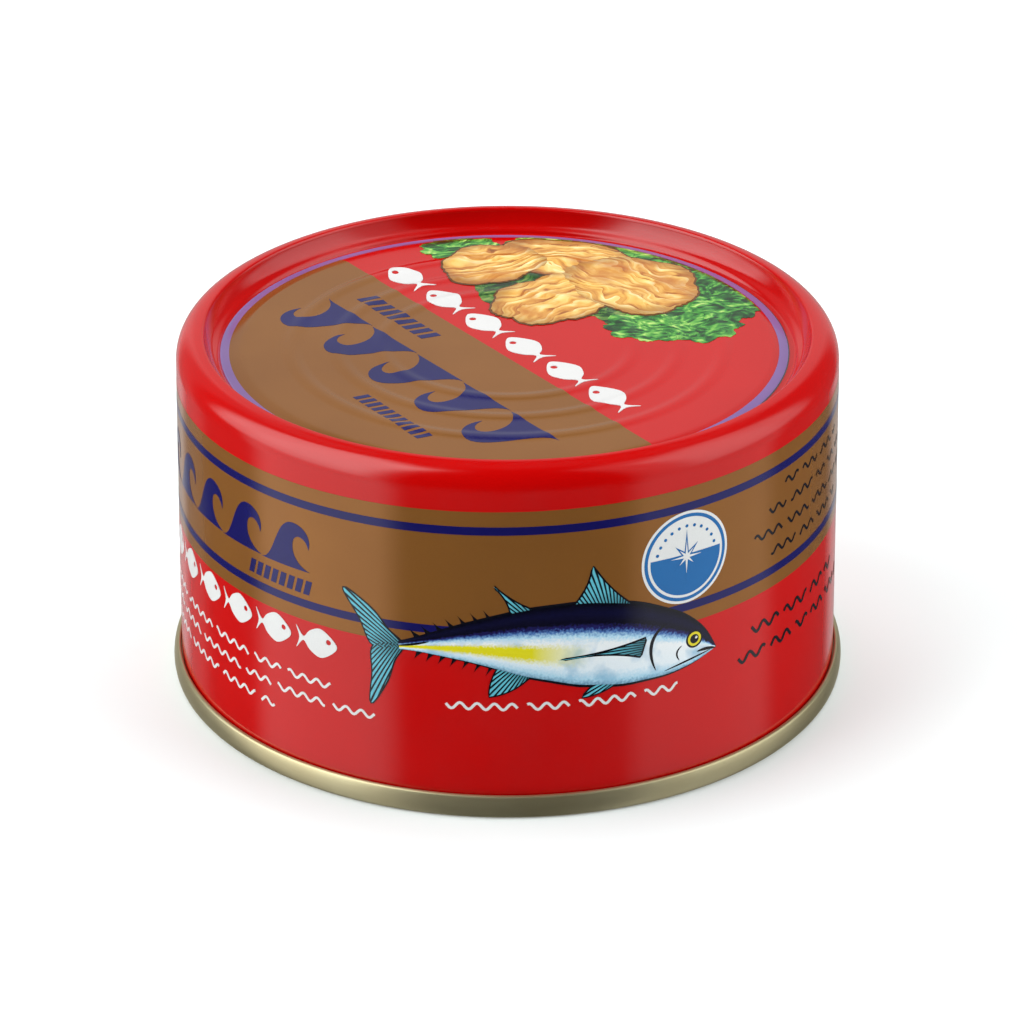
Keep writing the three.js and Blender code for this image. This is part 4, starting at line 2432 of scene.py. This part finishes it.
@dataclass
class Studio:
    """Pale floor, paneled sky, soft lights and the photograph's camera."""

    sky: float = 0.01
    panels: tuple[SkyPanel, ...] = (
        SkyPanel((-95.0, -40.0), (-70.0, 76.0), 0.52),
        SkyPanel((-95.0, -40.0), (-28.0, 0.0), 0.36),
        SkyPanel((-114.0, -46.0), (17.0, 70.0), 2.2),
        SkyPanel((-114.0, -46.0), (2.0, 17.0), 1.6),
        SkyPanel((-130.0, -98.0), (-70.0, 60.0), 0.05),
        SkyPanel((-158.0, -130.0), (-70.0, 60.0), 0.2),
        SkyPanel((44.0, 102.0), (-70.0, 72.0), 0.43),
        SkyPanel((64.0, 118.0), (17.0, 60.0), 1.05),
        SkyPanel((64.0, 118.0), (2.0, 17.0), 0.85),
        SkyPanel((100.0, 154.0), (-70.0, 60.0), 0.07),
        SkyPanel((152.0, 200.0), (-70.0, 42.0), 0.46),
        SkyPanel((-200.0, -152.0), (-70.0, 42.0), 0.46),
    )
    lens: float = 151.19
    sensor: float = 36.0
    eye: Triple = (0.0, -0.49687, 0.27029)
    target: Triple = (0.0, 0.0, 0.02018)
    shift: float = 0.00433
    floor_half: float = 3.0
    boxes: tuple[Softbox, ...] = (
        Softbox("top_box", (0.0, 0.42, 0.92), (1.0, 0.8), 7.0),
        Softbox("left_box", (-0.85, -0.25, 0.46), (0.7, 0.7), 3.6),
        Softbox("right_box", (0.85, -0.25, 0.46), (0.7, 0.7), 5.5),
    )

    def floor(self) -> None:
        """Lay the floor, which lights the can but isn't mirrored in it."""
        mesh = bpy.data.meshes.new("floor")
        h = self.floor_half
        mesh.from_pydata([(-h, -h, 0), (h, -h, 0), (h, h, 0), (-h, h, 0)], [], [(0, 1, 2, 3)])
        mesh.materials.append(PaleFloor().build())
        ground = linked("floor", mesh)
        ground.visible_glossy = False

    def light(self) -> None:
        """Set the sky and hang the soft lights."""
        world = bpy.data.worlds.new("paneled_sky")
        world.use_nodes = True
        sheet = NodeSheet(world.node_tree)
        back = world.node_tree.nodes["Background"]
        back.inputs["Color"].default_value = (1.0, 1.0, 1.0, 1.0)
        x, y, z = sheet.parts(sheet.add("ShaderNodeTexCoord").outputs["Generated"])
        turn = sheet.math("DEGREES", sheet.math("ARCTAN2", x, sheet.times(y, -1.0)))
        height = sheet.math("DEGREES", sheet.math("ARCSINE", z))
        total = self.sky
        for panel in self.panels:
            total = sheet.plus(total, panel.glow(sheet, turn, height))
        sheet.feed(back, "Strength", total)
        bpy.context.scene.world = world
        for box in self.boxes:
            box.build()

    def camera(self) -> None:
        """Place the camera where the photograph was taken from."""
        data = bpy.data.cameras.new("camera")
        data.lens, data.sensor_width, data.shift_x = self.lens, self.sensor, self.shift
        holder = linked("camera", data)
        aim(holder, self.eye, self.target)
        bpy.context.scene.camera = holder

    def build(self) -> None:
        """Set the whole stage."""
        self.camera()
        self.floor()
        self.light()
        bpy.context.scene.view_settings.view_transform = "Standard"


DEEP_LEAF = (
    (0.0, (6, 18, 8)),
    (0.4, (12, 40, 14)),
    (0.52, (30, 74, 24)),
    (0.64, (66, 112, 40)),
    (0.8, (128, 150, 70)),
)


def ink_cupboard() -> InkSet:
    """Make every print ink.

    Returns:
        Materials of the inks.
    """
    plain = {
        Ink.NAVY: ((17, 15, 86), (14, 12, 79)),
        Ink.WHITE: ((217, 217, 216), (210, 211, 210)),
        Ink.BLACK: ((12, 12, 19), (17, 17, 26)),
        Ink.GREY: ((70, 66, 70), (63, 61, 64)),
        Ink.VIOLET: ((132, 106, 166), (122, 97, 158)),
        Ink.SEA: ((19, 99, 161), (15, 92, 154)),
        Ink.YELLOW: ((216, 201, 35), (201, 185, 26)),
        Ink.SHADE: ((104, 62, 20), (84, 50, 16)),
    }
    recipes = {ink: PrintInk(ink.value, *tones) for ink, tones in plain.items()}
    recipes |= {
        Ink.TAN: PrintInk(Ink.TAN.value, (150, 98, 45), (144, 93, 42), metal=0.4),
        Ink.BED: RuffledLeaf(Ink.BED.value, stops=DEEP_LEAF),
        Ink.FISH: FishSkin(Ink.FISH.value),
        Ink.FIN: FinInk(Ink.FIN.value),
        Ink.LEAF: RuffledLeaf(Ink.LEAF.value),
        Ink.FLESH: GoldenFlesh(Ink.FLESH.value),
    }
    return {ink: recipe.build() for ink, recipe in recipes.items()}


def main() -> None:
    """Build the can, its print and its stage, and log each piece."""
    logging.basicConfig(level=logging.INFO, format="%(message)s")
    Studio().build()
    body, end = CanBody(), SeamedEnd()
    made = []
    for part in (body, end):
        piece = part.build()
        part.dress(piece)
        made.append(piece)
    inks = ink_cupboard()
    wall, rows = WallSkin(body), MotifRow()
    side = WallPrint(wall, rows, RippleLine())
    top = LidPrint(LidSkin(body), rows)
    roundel, fish = Roundel(wall), PlainFish(wall)
    steps = [side.bands, side.motifs, side.waves, roundel.build, fish.build]
    steps += [top.fields, top.ornaments, top.serving]
    for step in steps:
        made += step(inks)
    for piece in made:
        LOG.info("%s: %d faces", piece.name, len(piece.data.polygons))


if __name__ == "__main__":
    main()
